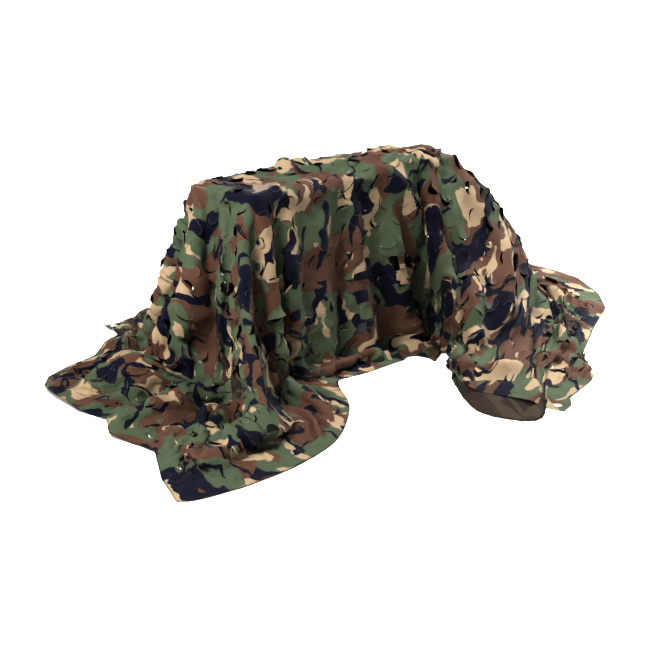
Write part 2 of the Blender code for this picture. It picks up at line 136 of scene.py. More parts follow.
# One row for each fold line, in order round the table, seen from above anticlockwise.
# edge: metres along the table's edge from its back left corner, first down the left end.
# high, low: how far the line swells out above and below half height. half_x, half_y: its place at half
# height. foot_x, foot_y, foot_z: where it reaches the floor. rise: height between foot and hem.
# bend: how far the line bows sideways there. hem_x, hem_y: the outer end.
# tuck: how far the cloth doubles back under its own nose before the hem.
Fold = namedtuple("Fold", "edge high half_x half_y low foot_x foot_y foot_z rise bend hem_x hem_y tuck")
FOLDS = [Fold(*row) for row in (
    # left end
    (-0.02, 0, -0.48, 0.23, 0, -0.5, 0.32, 0.03, 0.02, 0, -0.44, 0.52, 0),
    (0, 0, -0.5, 0.18, 0.01, -0.55, 0.27, 0.06, 0.06, 0, -0.53, 0.47, 0),
    (0.014, 0, -0.48, 0.14, 0, -0.54, 0.21, 0.01, 0, 0, -0.61, 0.41, 0),
    (0.028, 0, -0.54, 0.11, 0.01, -0.6, 0.17, 0.06, 0.06, 0, -0.74, 0.36, 0),
    (0.04, 0, -0.52, 0.07, 0, -0.6, 0.1, 0.04, 0.04, 0, -0.84, 0.33, 0),
    (0.058, 0.01, -0.595, 0.02, 0.04, -0.62, 0.05, 0.07, 0.09, 0, -0.91, 0.25, 0),
    (0.078, 0.01, -0.59, -0.03, 0.04, -0.63, -0.01, 0.06, 0.09, 0, -0.93, 0.17, 0),
    (0.098, 0, -0.54, -0.05, 0.01, -0.62, -0.05, 0.03, 0.06, 0.02, -0.945, 0.04, 0),
    (0.118, 0, -0.505, -0.05, 0, -0.6, -0.09, 0, 0, 0.03, -0.93, -0.01, 0),
    (0.142, 0, -0.52, -0.08, 0, -0.63, -0.14, 0.04, 0.06, 0.02, -0.93, -0.06, 0),
    (0.16, 0, -0.54, -0.1, 0, -0.65, -0.19, 0.06, 0.07, 0, -1, -0.17, 0),
    (0.178, 0, -0.52, -0.12, 0, -0.63, -0.23, 0, 0, 0, -0.98, -0.28, 0),
    (0.182, 0, -0.545, -0.15, 0, -0.66, -0.28, 0.05, 0.05, 0.01, -0.985, -0.34, 0),
    # left corner of the front
    (0.193, 0, -0.54, -0.17, 0, -0.68, -0.33, 0.02, 0.02, 0, -1.08, -0.48, 0.02),
    (0.203, 0, -0.555, -0.2, 0, -0.7, -0.37, 0.06, 0.05, 0, -1.14, -0.61, 0.06),
    (0.213, 0.01, -0.57, -0.22, 0, -0.72, -0.41, 0.09, 0.07, 0, -1.03, -0.65, 0.1),
    (0.224, 0.02, -0.58, -0.25, 0, -0.7, -0.43, 0.13, 0.09, 0, -0.89, -0.66, 0.12),
    (0.242, 0.01, -0.562, -0.24, 0, -0.66, -0.41, 0.1, 0.06, 0, -0.75, -0.65, 0.1),
    (0.27, 0, -0.455, -0.155, 0, -0.47, -0.24, 0, 0, 0, -0.6, -0.61, 0),
    (0.287, 0.01, -0.45, -0.23, 0, -0.46, -0.3, 0.05, 0.03, 0, -0.45, -0.51, 0),
    # front
    (0.325, 0, -0.41, -0.17, 0, -0.42, -0.22, 0.03, 0.02, 0, -0.36, -0.42, 0),
    (0.37, 0, -0.38, -0.145, 0, -0.37, -0.19, 0, 0, 0, -0.3, -0.33, 0),
    (0.405, 0, -0.355, -0.215, 0, -0.345, -0.23, 0.04, 0.02, 0, -0.26, -0.29, 0),
    (0.455, 0, -0.29, -0.165, 0, -0.28, -0.21, 0.03, 0.02, 0, -0.22, -0.29, 0.03),
    (0.53, 0.01, -0.205, -0.195, 0.01, -0.21, -0.22, 0.05, 0.03, 0, -0.15, -0.3, 0.05),
    (0.6, 0, -0.115, -0.145, 0, -0.13, -0.18, 0.02, 0.01, 0, -0.09, -0.3, 0.03),
    (0.665, 0, -0.065, -0.215, 0.01, -0.06, -0.25, 0.04, 0.02, 0, -0.02, -0.3, 0.02),
    (0.7, 0, -0.01, -0.165, 0, 0.01, -0.21, 0.02, 0.01, 0, 0.02, -0.3, 0),
    (0.765, 0, 0.065, -0.14, 0, 0.1, -0.17, 0, 0, 0, 0.055, -0.29, 0),
    (0.83, 0, 0.112, -0.228, 0, 0.18, -0.25, 0.05, 0.03, 0, 0.085, -0.305, 0),
    (0.87, 0, 0.17, -0.145, 0, 0.25, -0.18, 0, 0, 0, 0.095, -0.345, 0),
    (0.935, 0.02, 0.225, -0.155, 0, 0.29, -0.18, 0.01, 0.01, 0, 0.086, -0.381, 0),
    (0.975, 0, 0.285, -0.14, 0, 0.32, -0.18, 0, 0, 0, 0.15, -0.342, 0),
    # right corner of the front
    (1.005, 0.01, 0.245, -0.25, 0.03, 0.24, -0.3, 0.05, 0.03, 0, 0.17, -0.37, 0),
    (1.028, 0.01, 0.262, -0.268, 0.05, 0.19, -0.38, 0.05, 0.05, 0, 0.08, -0.44, 0),
    (1.052, 0.01, 0.295, -0.27, 0.03, 0.17, -0.43, 0.02, 0.03, 0, -0.012, -0.53, 0.02),
    (1.078, 0.02, 0.34, -0.29, 0.06, 0.18, -0.47, 0.04, 0.005, 0, -0.112, -0.648, 0),
    (1.104, 0.02, 0.415, -0.275, 0.01, 0.25, -0.46, 0.02, 0.005, 0, -0.178, -0.765, 0),
    (1.126, 0.03, 0.49, -0.3, 0.06, 0.31, -0.49, 0.04, 0.005, 0, -0.15, -0.885, 0),
    (1.144, 0.04, 0.545, -0.29, 0.03, 0.4, -0.48, 0.02, 0.005, 0, -0.085, -0.912, 0),
    (1.16, 0.04, 0.58, -0.275, 0.02, 0.49, -0.46, 0.03, 0.02, 0, 0.04, -0.84, 0),
    (1.174, 0.05, 0.61, -0.26, 0.01, 0.57, -0.43, 0.01, 0, 0, 0.13, -0.86, 0),
    (1.187, 0.05, 0.635, -0.25, 0.01, 0.65, -0.4, 0.05, 0.05, 0, 0.29, -0.82, 0),
    # right end
    (1.2, 0.05, 0.655, -0.235, 0.01, 0.72, -0.34, 0, 0, 0, 0.43, -0.68, 0),
    (1.213, 0.05, 0.67, -0.22, 0, 0.78, -0.28, 0.05, 0.06, 0, 0.57, -0.61, 0),
    (1.226, 0.05, 0.668, -0.205, 0, 0.82, -0.22, 0, 0, 0, 0.76, -0.51, 0),
    (1.239, 0.05, 0.674, -0.185, 0, 0.87, -0.17, 0.04, 0.04, 0, 0.92, -0.44, 0),
    (1.253, 0.04, 0.674, -0.165, 0, 0.88, -0.12, 0.01, 0.01, 0, 1.07, -0.31, 0),
    (1.27, 0.04, 0.671, -0.14, 0, 0.9, -0.07, 0.04, 0.05, 0, 1.17, -0.15, 0),
    (1.29, 0.03, 0.649, -0.105, 0, 0.88, -0.01, 0.01, 0.01, 0, 1.22, -0.03, 0),
    (1.312, 0.02, 0.62, -0.06, 0, 0.84, 0.05, 0.06, 0.07, 0, 1.2, 0.1, 0),
    (1.34, 0.01, 0.55, -0.01, 0, 0.66, 0.07, 0.01, 0, 0, 1.17, 0.21, 0),
    (1.37, 0.01, 0.56, 0.06, 0, 0.66, 0.15, 0.05, 0.01, 0, 1.085, 0.355, 0),
    (1.4, 0, 0.53, 0.13, 0, 0.6, 0.22, 0.01, 0.01, 0, 0.98, 0.46, 0),
    # back
    (1.43, 0.01, 0.51, 0.21, 0, 0.55, 0.32, 0.06, 0.06, 0, 0.84, 0.57, 0),
    (1.5, 0, 0.4, 0.15, 0, 0.42, 0.2, 0, 0, 0, 0.67, 0.53, 0),
    (1.58, 0, 0.3, 0.2, 0, 0.31, 0.27, 0.05, 0.05, 0, 0.5, 0.62, 0),
    (1.66, 0, 0.19, 0.15, 0, 0.2, 0.2, 0, 0, 0, 0.34, 0.57, 0),
    (1.74, 0.01, 0.115, 0.205, 0, 0.12, 0.28, 0.06, 0.06, 0, 0.2, 0.66, 0),
    (1.83, 0, 0.01, 0.15, 0, 0.02, 0.19, 0, 0, 0, 0.07, 0.6, 0),
    (1.92, 0, -0.09, 0.19, 0, -0.09, 0.25, 0.05, 0.05, 0, -0.04, 0.65, 0),
    (2.01, 0, -0.18, 0.15, 0, -0.18, 0.19, 0, 0, 0, -0.13, 0.61, 0),
    (2.085, 0.01, -0.26, 0.205, 0, -0.27, 0.28, 0.06, 0.05, 0, -0.2, 0.67, 0),
    (2.155, 0, -0.345, 0.16, 0, -0.35, 0.22, 0.01, 0.01, 0, -0.28, 0.64, 0),
    (2.215, 0.01, -0.43, 0.23, 0, -0.43, 0.33, 0.05, 0.01, 0, -0.365, 0.58, 0),
)]

# Soft ridges that cross the table top, from start to end: height, half width.
Ridge = namedtuple("Ridge", "start_x start_y end_x end_y height width")
TOP_RIDGES = [
    Ridge(-0.28, 0.07, -0.12, 0.06, 0.016, 0.026),
    Ridge(-0.12, 0.06, 0.05, -0.09, 0.030, 0.030),
    Ridge(-0.02, 0.11, 0.21, -0.14, 0.026, 0.034),
    Ridge(0.25, 0.02, 0.30, -0.15, 0.020, 0.030),
    Ridge(0.40, 0.02, 0.46, -0.10, 0.012, 0.040),
]

# Where the cut's outline meets the fold lines: the fold, and the point of the flat outline, anticlockwise.
HEM_MARKS = (
    (14, (CUT_LOW[0], CUT_LOW[1])),
    (20, (-0.50, CUT_LOW[1])),
    (32, (0.36, CUT_LOW[1])),
    (40, (CUT_HIGH[0], CUT_LOW[1])),
    (52, (CUT_HIGH[0], CUT_HIGH[1])),
    (55, (0.72, CUT_HIGH[1])),
    (61, (-0.70, CUT_HIGH[1])),
    (64, (CUT_LOW[0], CUT_HIGH[1])),
)
CUT_POINT = dict(HEM_MARKS)

# Fold lines between which the cut edge runs straight from one to the next, and over what share that comes in
ANGULAR = ((1, 14), (40, 54))
ANGULAR_FADE = 0.5

# Corners that reach out to a tip with an eyelet: fold line, tip, eyelet, and width in folds.
Tip = namedtuple("Tip", "name fold x y eyelet_x eyelet_y width")
TIPS = (
    Tip("front_right", 40, -0.002, -0.922, 0.020, -0.886, 1.0),
    Tip("back_right", 52, 1.150, 0.430, 1.124, 0.401, 1.0),
    Tip("back_left", 64, -0.405, 0.645, -0.387, 0.615, 1.0),
)
TIP_HEIGHT = 0.0025
TIP_PATCH = 0.090
TIP_FADE = 1.5
EYELET_REST = 0.030
EYELET_FADE = 1.4
PUNCH_REACH = 0.0075

# Turned-over hem of the front right lobe, by fold: how far the lining is turned up over the cloth, and how
# much of it is turned back down again with its print showing.
TURNED_UP = {
    35: (0.030, 0.004),
    36: (0.052, 0.014),
    37: (0.182, 0.060),
    38: (0.240, 0.105),
    39: (0.235, 0.165),
}
TURNED_HEIGHT = 0.040
TURNED_MIDDLE = 0.016
BORDER_HEIGHT = 0.024
FULL_TURN = 0.06
FULL_BACK = 0.05

# Sharp creases in the hanging cloth, from a start to an end: how far they stand out (or in), half width.
Crease = namedtuple("Crease", "x1 y1 z1 x2 y2 z2 out width")
CREASES = [Crease(*row) for row in (
    # left end
    (-0.46, 0.14, 0.48, -0.49, 0.1, 0.43, -0.02, 0.012),
    (-0.5, 0.03, 0.45, -0.53, 0.01, 0.38, -0.02, 0.01),
    (-0.49, 0, 0.43, -0.51, -0.02, 0.36, -0.032, 0.016),
    (-0.51, -0.02, 0.36, -0.53, -0.05, 0.24, -0.032, 0.014),
    (-0.63, 0, 0.15, -0.61, -0.15, 0.08, -0.07, 0.04),
    (-0.61, 0.03, 0.3, -0.62, 0.01, 0.2, 0.02, 0.045),
    (-0.45, -0.16, 0.46, -0.46, -0.18, 0.26, -0.02, 0.014),
    # ridges of the front
    (-0.42, -0.15, 0.54, -0.44, -0.18, 0.42, 0.012, 0.012),
    (-0.44, -0.18, 0.42, -0.45, -0.24, 0.22, 0.014, 0.012),
    (-0.34, -0.16, 0.46, -0.36, -0.21, 0.28, 0.012, 0.01),
    (-0.36, -0.21, 0.28, -0.35, -0.23, 0.14, 0.012, 0.01),
    (-0.06, -0.18, 0.4, -0.08, -0.22, 0.2, 0.014, 0.012),
    (0.12, -0.17, 0.43, 0.13, -0.21, 0.23, 0.014, 0.012),
    (0.13, -0.21, 0.23, 0.17, -0.24, 0.08, 0.012, 0.012),
    # between them
    (-0.1, -0.15, 0.36, -0.09, -0.18, 0.12, -0.02, 0.014),
    (-0.21, -0.19, 0.4, -0.24, -0.2, 0.22, -0.014, 0.01),
    # sash over the front edge
    (0.1, -0.14, 0.56, 0.16, -0.14, 0.5, 0.048, 0.024),
    (0.16, -0.14, 0.5, 0.21, -0.15, 0.43, 0.052, 0.022),
    (0.21, -0.15, 0.43, 0.235, -0.16, 0.35, 0.044, 0.018),
    (0.235, -0.16, 0.35, 0.25, -0.16, 0.27, 0.028, 0.014),
    # right corner
    (0.37, -0.17, 0.51, 0.33, -0.2, 0.44, -0.018, 0.01),
    (0.33, -0.2, 0.44, 0.31, -0.23, 0.36, -0.018, 0.01),
    (0.48, -0.22, 0.44, 0.45, -0.26, 0.34, -0.014, 0.01),
    (0.36, -0.3, 0.26, 0.29, -0.37, 0.2, -0.022, 0.015),
    (0.53, -0.28, 0.31, 0.44, -0.3, 0.25, -0.018, 0.01),
    (0.46, -0.45, 0.05, 0.59, -0.39, 0.05, -0.04, 0.018),
    (0.19, -0.47, 0.05, 0.14, -0.59, 0.04, -0.03, 0.014),
    (0.15, -0.62, 0.04, 0.39, -0.6, 0.03, -0.03, 0.012),
    (0.17, -0.58, 0.05, 0.4, -0.56, 0.03, 0.018, 0.014),
    (0.03, -0.5, 0.02, 0.1, -0.63, 0.01, 0.04, 0.03),
    (0.1, -0.63, 0.01, 0.3, -0.66, 0.01, 0.044, 0.03),
    (0.4, -0.61, 0.02, 0.39, -0.7, 0.03, -0.03, 0.015),
    # left floor
    (-0.82, 0.07, 0.04, -0.71, -0.02, 0.02, -0.05, 0.014),
    (-0.71, -0.02, 0.02, -0.72, -0.21, 0.04, -0.05, 0.014),
    (-0.83, -0.02, 0.03, -0.8, -0.12, 0.05, -0.03, 0.012),
    (-0.96, -0.12, 0.02, -0.84, -0.17, 0.04, 0.03, 0.022),
    (-0.95, -0.3, 0.02, -0.84, -0.27, 0.02, 0.02, 0.018),
)]
CREASE_SHARP = 1.3

# Relaxing: rounds of evening out, how stiff the cloth is, and how far it may stand off the drape
RELAX_ROUNDS = 8
RELAX_STEPS = 10
STAND_OFF = 0.010
SHEAR_STIFF = 0.30
PUSH_STIFF = 0.5
BEND_SPANS = ((2, 0.25), (4, 0.18), (6, 0.10))
CRUMPLE = 0.0012
WRINKLES = ((1.7, 0.0018), (3.6, 0.0046))
BELL_REACH = 3

# What is held still meanwhile: cells at the hem, and the turned-over lobe
HEM_HOLD = 7
LOBE_AT = (-0.08, -0.80)
LOBE_HOLD = 0.21
LOBE_FADE = 1.6
LOW_CLOTH = 0.05

# Leaf cuts: the pitch they are cut at, how far they stay from the cut edges, and their sizes.
# ring: half width in cells of the square the cut follows. reach: radius of the cut. room: half width of the
# square of cells that it shifts. jitter: how many cells it may stray from its row.
LEAF_PITCH = 8
PLAIN_FRONT = 29
PLAIN_EDGE = 11
LeafSize = namedtuple("LeafSize", "ring reach room jitter")
SMALL_LEAF = LeafSize(2, 0.0175, 3, 1)
LARGE_LEAF = LeafSize(3, 0.0235, 4, 0)
LARGE_SHARE = 0.45
LEAF_LOBES = ((2, 0.16), (3, 0.10))
LEAF_MISSING = 0.08
ROOT_EDGES = (4, 10)
Leaf = namedtuple("Leaf", "row column size lobes root wide limp lift")

# How slack a leaf hangs: what the front panel and the back take off, what the table's edge adds, the least
FRONT_TAUT = 0.75
BACK_TAUT = 0.55
EDGE_SLACK = 0.3
LEAST_SLACK = 0.30
FLOOR_SLACK = 0.20
PANEL_MIDDLE = -0.08
PANEL_HALF = 0.42
PANEL_FADE = 0.12

# From which value, and over how much more, each of these comes in: facing forward or back, height
FACING_FRONT = (0.35, 0.3)
FACING_BACK = (0.25, 0.3)
EDGE_ZONE = (0.47, 0.06)
HIGH_ZONE = (0.04, 0.08)
LEVEL_EDGE = 1.3

# How far it curls off the cloth, in degrees: least, and more the limper it is
LYING_CURL = (8, 24)
HANGING_CURL = (14, 80)
LIFTED_CURL = (25, 50)
TOP_CURL = (25, 15)
HANGING_UP = 0.35
STEEP = 0.75
LEVEL = 0.8
ON_TOP = 0.5
LIFTED_SHARE = 0.22
FALL_SHARE = 0.7
FALL_MOST = 0.8
CUT_CLEAR = 0.0025

# Sides of the drape whose leaves lie flatter: the axis they face, how squarely, and their curl
CAPPED_SIDES = ((1, 0.4, 12, 8), (0, 0.45, 18, 14))
CAPPED_ABOVE = 0.06
FOLLOW_SHARE = 0.62
FLAP_SHRINK = (0.985, 0.955)

# Lining, hem and stitches
CLOTH_THICK = 0.0007
LINING_FLOOR = 0.0015
HEM_TURN = 2.1 * CELL
HEM_THICK = 0.0009
HEM_FLOOR = 0.0009
AT_CUT_EDGE = 0.1 * CELL
STITCH_INSET = 0.013
STITCH_PITCH = 0.0065
STITCH_LENGTH = 0.0042
STITCH_STAND = 0.0003
STITCH_FLOOR = 0.0008
THREAD_RADIUS = 0.0004
THREAD_SIDES = 5

# Dyes of the woodland print, and its blotches: each a noise read at its own place, turn, scale and stretch
PRINT_GREEN = (0.046, 0.058, 0.037)
PRINT_BROWN = (0.058, 0.032, 0.022)
PRINT_TAN = (0.182, 0.142, 0.098)
PRINT_NAVY = (0.0042, 0.0047, 0.0118)
Blotch = namedtuple("Blotch", "shift turn scale stretch detail")
BROWN_BLOTCH = Blotch((3.1, 1.7, 0), 0.3, 6.9, (1.1, 0.75, 1), 1.2)
TAN_BLOTCH = Blotch((7.9, 4.2, 0), -0.4, 9.4, (1.15, 0.8, 1), 2.0)
NAVY_BLOTCH = Blotch((1.3, 9.4, 0), 0.5, 7.2, (1.2, 0.8, 1), 1.2)
NAVY_BAND = Blotch((5.6, 2.8, 0), -0.2, 6.2, (1.2, 0.75, 1), 1.6)
NAVY_BREAK = Blotch((2.2, 6.5, 0), 0.0, 9.5, (1, 1, 1), 0.5)
BROWN_EDGE = (0.500, 0.507)
TAN_EDGE = (0.578, 0.584)
NAVY_EDGE = (0.612, 0.618)
BAND_EDGE = (0.000, 0.004)
BAND_WIDTH = (0.15, -0.062)
BLOTCH_WANDER = 0.080

# Other colours
PRINT_FADED = (0.30, 0.29, 0.26)
# Pale colour along the print's leaf cuts: partly fraying thread, partly a painted highlight where the raised
# cut edge catches the light
PRINT_FRAY_HIGHLIGHT = (0.36, 0.33, 0.28)
LINING_BROWN = (0.0105, 0.0070, 0.0050)
LINING_DUST = (0.10, 0.08, 0.06)
WHITE = (1.0, 1.0, 1.0)
# Pale colour along the lining's leaf cuts: partly fraying thread, partly a painted highlight
LINING_FRAY_HIGHLIGHT = (0.30, 0.27, 0.22)
STAIN_DEEP = (0.055, 0.029, 0.016)
STAIN_LIGHT = (0.110, 0.061, 0.032)
STAIN_RINGS = (0.043, 0.021, 0.013)
NICKEL_DULL = (0.50, 0.49, 0.46)
NICKEL_BRIGHT = (0.66, 0.64, 0.60)
THREAD_DARK = (0.030, 0.032, 0.018)
THREAD_LIGHT = (0.085, 0.082, 0.052)
FLOOR_WHITE = (0.72, 0.72, 0.72, 1)

# Noises of the finishes: scale, detail and roughness
WANDER_NOISE = (12.0, 2.0, 0.5)
PRINT_FADE = (30.0, 4.0, 0.6)
LINING_FADE = (26.0, 4.0, 0.6)
STAIN_GRAIN = (1.6, 6.0, 0.6)
STAIN_RING = (1.2, 2.0, 0.5)
NICKEL_SCUFF = (900.0, 3.0, 0.6)
THREAD_TWIST = (700.0, 2.0, 0.6)
BLOTCH_ROUGH = 0.45

# Weave, and the leaf cuts' pale fraying thread with its painted highlight; a bump is its strength and depth
WEAVE_SCALE = 260.0
WEAVE_BUMP = (0.12, 0.0006)
GRAIN_BUMP = (0.2, 0.001)
FRAY_HIGHLIGHT_POWER = 9.0

# Studio: a round floor whose rim curves up into a wall, and the camera, set out from the table's middle
STUDIO_REACH = 11.0
STUDIO_CURVE = 3.0
STUDIO_WALL = 7.0
STUDIO_SIDES = 48
CURVE_POINTS = 9
WORLD_STRENGTH = 0.05
CAMERA_PLACE = (-3.110, -3.0165, 1.400)
CAMERA_TURN = (72.73, 0.0, -45.77)
CAMERA_LENS = 78.2
FILM_WIDTH = 36
VIEW_GAMMA = 0.71

# Square soft lights. place: from the table's middle. aim: the place in the scene that the light faces.
# power: watts. spread: degrees.
Lamp = namedtuple("Lamp", "name place across power color aim spread")
LAMPS = [Lamp(*row) for row in (
    ("key_light", (-2.5, -0.5, 3.0), 0.8, 372, (1.0, 0.99, 0.97), (0, 0, 0.25), 180),
    ("left_fill", (-3.8, 0.8, 2.2), 1.2, 90, (0.97, 0.98, 1.0), (0, 0, 0.25), 180),
    ("right_fill", (2.8, -0.4, 3.2), 1.2, 78, WHITE, (0.95, -0.35, 0.05), 56),
    ("floor_light", (2.0, 2.0, 3.6), 3.0, 420, WHITE, (5.0, 5.0, 0), 180),
    ("wall_light", (5.0, 5.0, 3.8), 4.0, 1100, WHITE, (8.0, 8.0, 0), 180),
    ("left_wall_light", (-5.0, 5.0, 3.8), 4.0, 900, WHITE, (-8.5, 8.5, 1.0), 180),
    ("near_wall_light", (-5.5, -5.5, 3.8), 4.0, 900, WHITE, (-9.0, -9.0, 1.0), 180),
    ("right_wall_light", (5.0, -5.0, 3.8), 4.0, 900, WHITE, (8.5, -8.5, 1.0), 180),
)]


def smooth(share):
    """A share from 0 to 1, eased at both ends."""
    share = np.clip(share, 0, 1)
    return share * share * (3 - 2 * share)


def smooth_mesh(name, form):
    """A smooth-shaded mesh of a finished form."""
    mesh = bpy.data.meshes.new(name)
    form.to_mesh(mesh)
    form.free()
    mesh.shade_smooth()
    return mesh


def edge_point(distance):
    """Place and outward direction on the table's edge, from its back left corner anticlockwise."""
    half_x, half_y = TABLE_LENGTH / 2, TABLE_DEPTH / 2
    walk = distance % (2 * (TABLE_LENGTH + TABLE_DEPTH))
    sides = (
        (TABLE_DEPTH, (-half_x, half_y), (0, -1), (-1, 0)),
        (TABLE_LENGTH, (-half_x, -half_y), (1, 0), (0, -1)),
        (TABLE_DEPTH, (half_x, -half_y), (0, 1), (1, 0)),
        (TABLE_LENGTH, (half_x, half_y), (-1, 0), (0, 1)),
    )
    for length, start, along, out in sides:
        if walk <= length:
            break
        walk -= length
    return np.array(start) + walk * np.array(along, float), np.array(out, float)


def edge_line(distance):
    """The edge point, and its direction averaged over a short stretch, so that it turns smoothly."""
    steps = np.linspace(-TURN_STRETCH, TURN_STRETCH, TURN_SAMPLES)
    out = np.mean([edge_point(distance + step)[1] for step in steps], axis=0)
    return edge_point(distance)[0], out / np.linalg.norm(out)


def top_height(places):
    """Height of the cloth where it lies on the table top, for a list of places."""
    places = np.atleast_2d(places)
    inside = np.minimum(TABLE_LENGTH / 2 - abs(places[:, 0]), TABLE_DEPTH / 2 - abs(places[:, 1]))
    lift = REST_GAP + (EDGE_CLEARANCE - REST_GAP) * (1 - smooth(inside / EDGE_FADE))
    for ridge in TOP_RIDGES:
        start = np.array((ridge.start_x, ridge.start_y))
        along = np.array((ridge.end_x, ridge.end_y)) - start
        share = np.clip((places - start) @ along / (along @ along), 0, 1)
        away = np.linalg.norm(places - start - share[:, None] * along, axis=1) / ridge.width
        lift = lift + ridge.height * np.exp(-away * away)
    return TABLE_HEIGHT + lift


def hanging_points(fold):
    """The points that a fold line passes through from the table's middle down to its foot."""
    edge, out = edge_line(fold.edge)
    half = np.array((fold.half_x, fold.half_y))
    foot = np.array((fold.foot_x, fold.foot_y))
    spine = np.array((np.clip(edge[0], -SPINE_HALF, SPINE_HALF), 0.0))
    points = []
    for share in TOP_SHARES:
        place = spine + share * (edge - spine)
        points.append((*place, top_height(place)[0]))
    lip = edge + LIP_OUT * out
    lean = (foot - lip) / np.linalg.norm(foot - lip)
    quarter = lip + QUARTER_OUT * (half - lip) + fold.high * lean
    low = half + LOW_OUT * (foot - half) + fold.low * lean
    return points + [
        (*lip, top_height(edge)[0] - EDGE_CLEARANCE - LIP_DROP),
        (*quarter, (TABLE_HEIGHT + HALF_HEIGHT) / 2),
        (*half, HALF_HEIGHT),
        (*low, LOW_HEIGHT * HALF_HEIGHT + (1 - LOW_HEIGHT) * fold.foot_z),
        (*foot, fold.foot_z),
    ]


def floor_points(fold, turned_up, turned_back):
    """The points that it passes through along the floor, out to its hem and back over a turned-up hem."""
    foot = np.array((fold.foot_x, fold.foot_y))
    hem = np.array((fold.hem_x, fold.hem_y))
    reach = np.linalg.norm(hem - foot)
    run = (hem - foot) / reach
    margin = min(MARGIN, MARGIN_SHARE * reach)
    nose = hem - margin * run
    under = nose + (UNDER_SHARE * margin - fold.tuck) * run
    tucked = smooth(fold.tuck / FULL_TUCK)
    crest = (foot + nose) / 2 + fold.bend * np.array((run[1], -run[0]))
    turned = hem - (turned_up - HEM_EDGE) * run
    flipped, hem_height = smooth(turned_up / FULL_TURN), HEM_RISE * fold.rise * (1 - tucked)
    back_height = BORDER_HEIGHT + (TURNED_HEIGHT - BORDER_HEIGHT) * (1 - smooth(turned_back / FULL_BACK))
    return [
        (*crest, fold.rise),
        (*nose, max(NOSE_RISE * fold.rise, NOSE_HEIGHT * tucked)),
        (*under, UNDER_RISE * fold.rise * (1 - tucked)),
        (*hem, hem_height),
        (*(0.5 * (hem + turned)), max(hem_height, TURNED_MIDDLE * flipped)),
        (*turned, max(hem_height, TURNED_HEIGHT * flipped)),
        (*(turned + (HEM_EDGE + turned_back) * run), max(hem_height, back_height * flipped)),
    ]


def fold_points(number):
    """The points that one fold line passes through, from the table's middle to the hem."""
    turned = TURNED_UP.get(number, (0, 0))
    return np.array(hanging_points(FOLDS[number]) + floor_points(FOLDS[number], *turned))


def through(points, shares, closed=False):
    """Points on the smooth curve through points, at shares counted in points."""
    count = len(points)
    result = []
    for share in shares:
        start = int(share) if closed else min(int(share), count - 2)
        part = share - start
        if closed:
            a, b, c, d = (points[(start + step) % count] for step in (-1, 0, 1, 2))
        else:
            b, c = points[start], points[start + 1]
            a = points[start - 1] if start else 2 * b - c
            d = points[start + 2] if start + 2 < count else 2 * c - b
        slope_b, slope_c = (c - a) / 2, (d - b) / 2
        result.append(
            b * (2 * part**3 - 3 * part**2 + 1)
            + slope_b * (part**3 - 2 * part**2 + part)
            + c * (3 * part**2 - 2 * part**3)
            + slope_c * (part**3 - part**2)
        )
    return np.array(result)


def angular(share):
    """How straight the cut edge runs at this fold share: 0 for a smooth curve, 1 for straight stretches."""
    return max(smooth(min(share - low, high - share) + ANGULAR_FADE) for low, high in ANGULAR)


def creased(lines):
    """The fine lines with the sharp creases pushed in or pulled out, clear of the table."""
    around = np.roll(lines, -1, axis=0) - np.roll(lines, 1, axis=0)
    outward = np.cross(np.gradient(lines, axis=1), around)
    outward /= np.linalg.norm(outward, axis=2)[..., None] + TINY
    moved = np.zeros(lines.shape[:2])
    for crease in CREASES:
        start, end = np.array(crease[:3]), np.array(crease[3:6])
        along = end - start
        share = np.clip((lines - start) @ along / (along @ along), 0, 1)
        away = np.linalg.norm(lines - start - share[..., None] * along, axis=-1) / crease.width
        moved += crease.out * np.exp(-away**CREASE_SHARP)
    lines = lines + moved[..., None] * outward
    half_x, half_y = TABLE_LENGTH / 2 + TABLE_CLEAR, TABLE_DEPTH / 2 + TABLE_CLEAR
    beside = (lines[..., 2] < TABLE_HEIGHT) & (abs(lines[..., 0]) < half_x) & (abs(lines[..., 1]) < half_y)
    near_side = beside & (half_y - abs(lines[..., 1]) < half_x - abs(lines[..., 0]))
    near_end = beside & ~near_side
    lines[near_side, 1] = np.sign(lines[near_side, 1]) * half_y
    lines[near_end, 0] = np.sign(lines[near_end, 0]) * half_x
    lines[..., 2] = np.maximum(lines[..., 2], FLOOR_GAP)
    return lines


def fine_lines():
    """Fine fold lines round the table, each as even points from the table's edge to the hem."""
    folds = np.array([fold_points(number) for number in range(len(FOLDS))])
    shares = np.arange(0, len(FOLDS), 1 / LINES_PER_FOLD)
    outs = np.arange(len(TOP_SHARES) - 1, folds.shape[1] - 1 + CURVE_STEP / 10, CURVE_STEP)
    lines = []
    outer = smooth((np.arange(folds.shape[1]) - STRAIGHT_FROM) / STRAIGHT_OVER)[:, None]
    for share, line in zip(shares, through(folds, shares, closed=True)):
        first, part = int(share), share % 1
        straight = (1 - part) * folds[first] + part * folds[(first + 1) % len(folds)]
        line = line + angular(share) * outer * (straight - line)
        curve = through(line, outs)
        curve[:, 2] = np.maximum(curve[:, 2], FLOOR_GAP)
        for tip in TIPS:
            pull = max(0, 1 - abs(share - tip.fold) / tip.width)
            curve[-1, :2] += pull * (np.array((tip.x, tip.y)) - curve[-1, :2])
            curve[-1, 2] += pull * (TIP_HEIGHT - curve[-1, 2])
        walk = np.append(0, np.cumsum(np.linalg.norm(np.diff(curve, axis=0), axis=1)))
        even = np.linspace(0, walk[-1], LINE_STEPS)
        lines.append(np.column_stack([np.interp(even, walk, curve[:, axis]) for axis in range(3)]))
    return creased(np.array(lines))


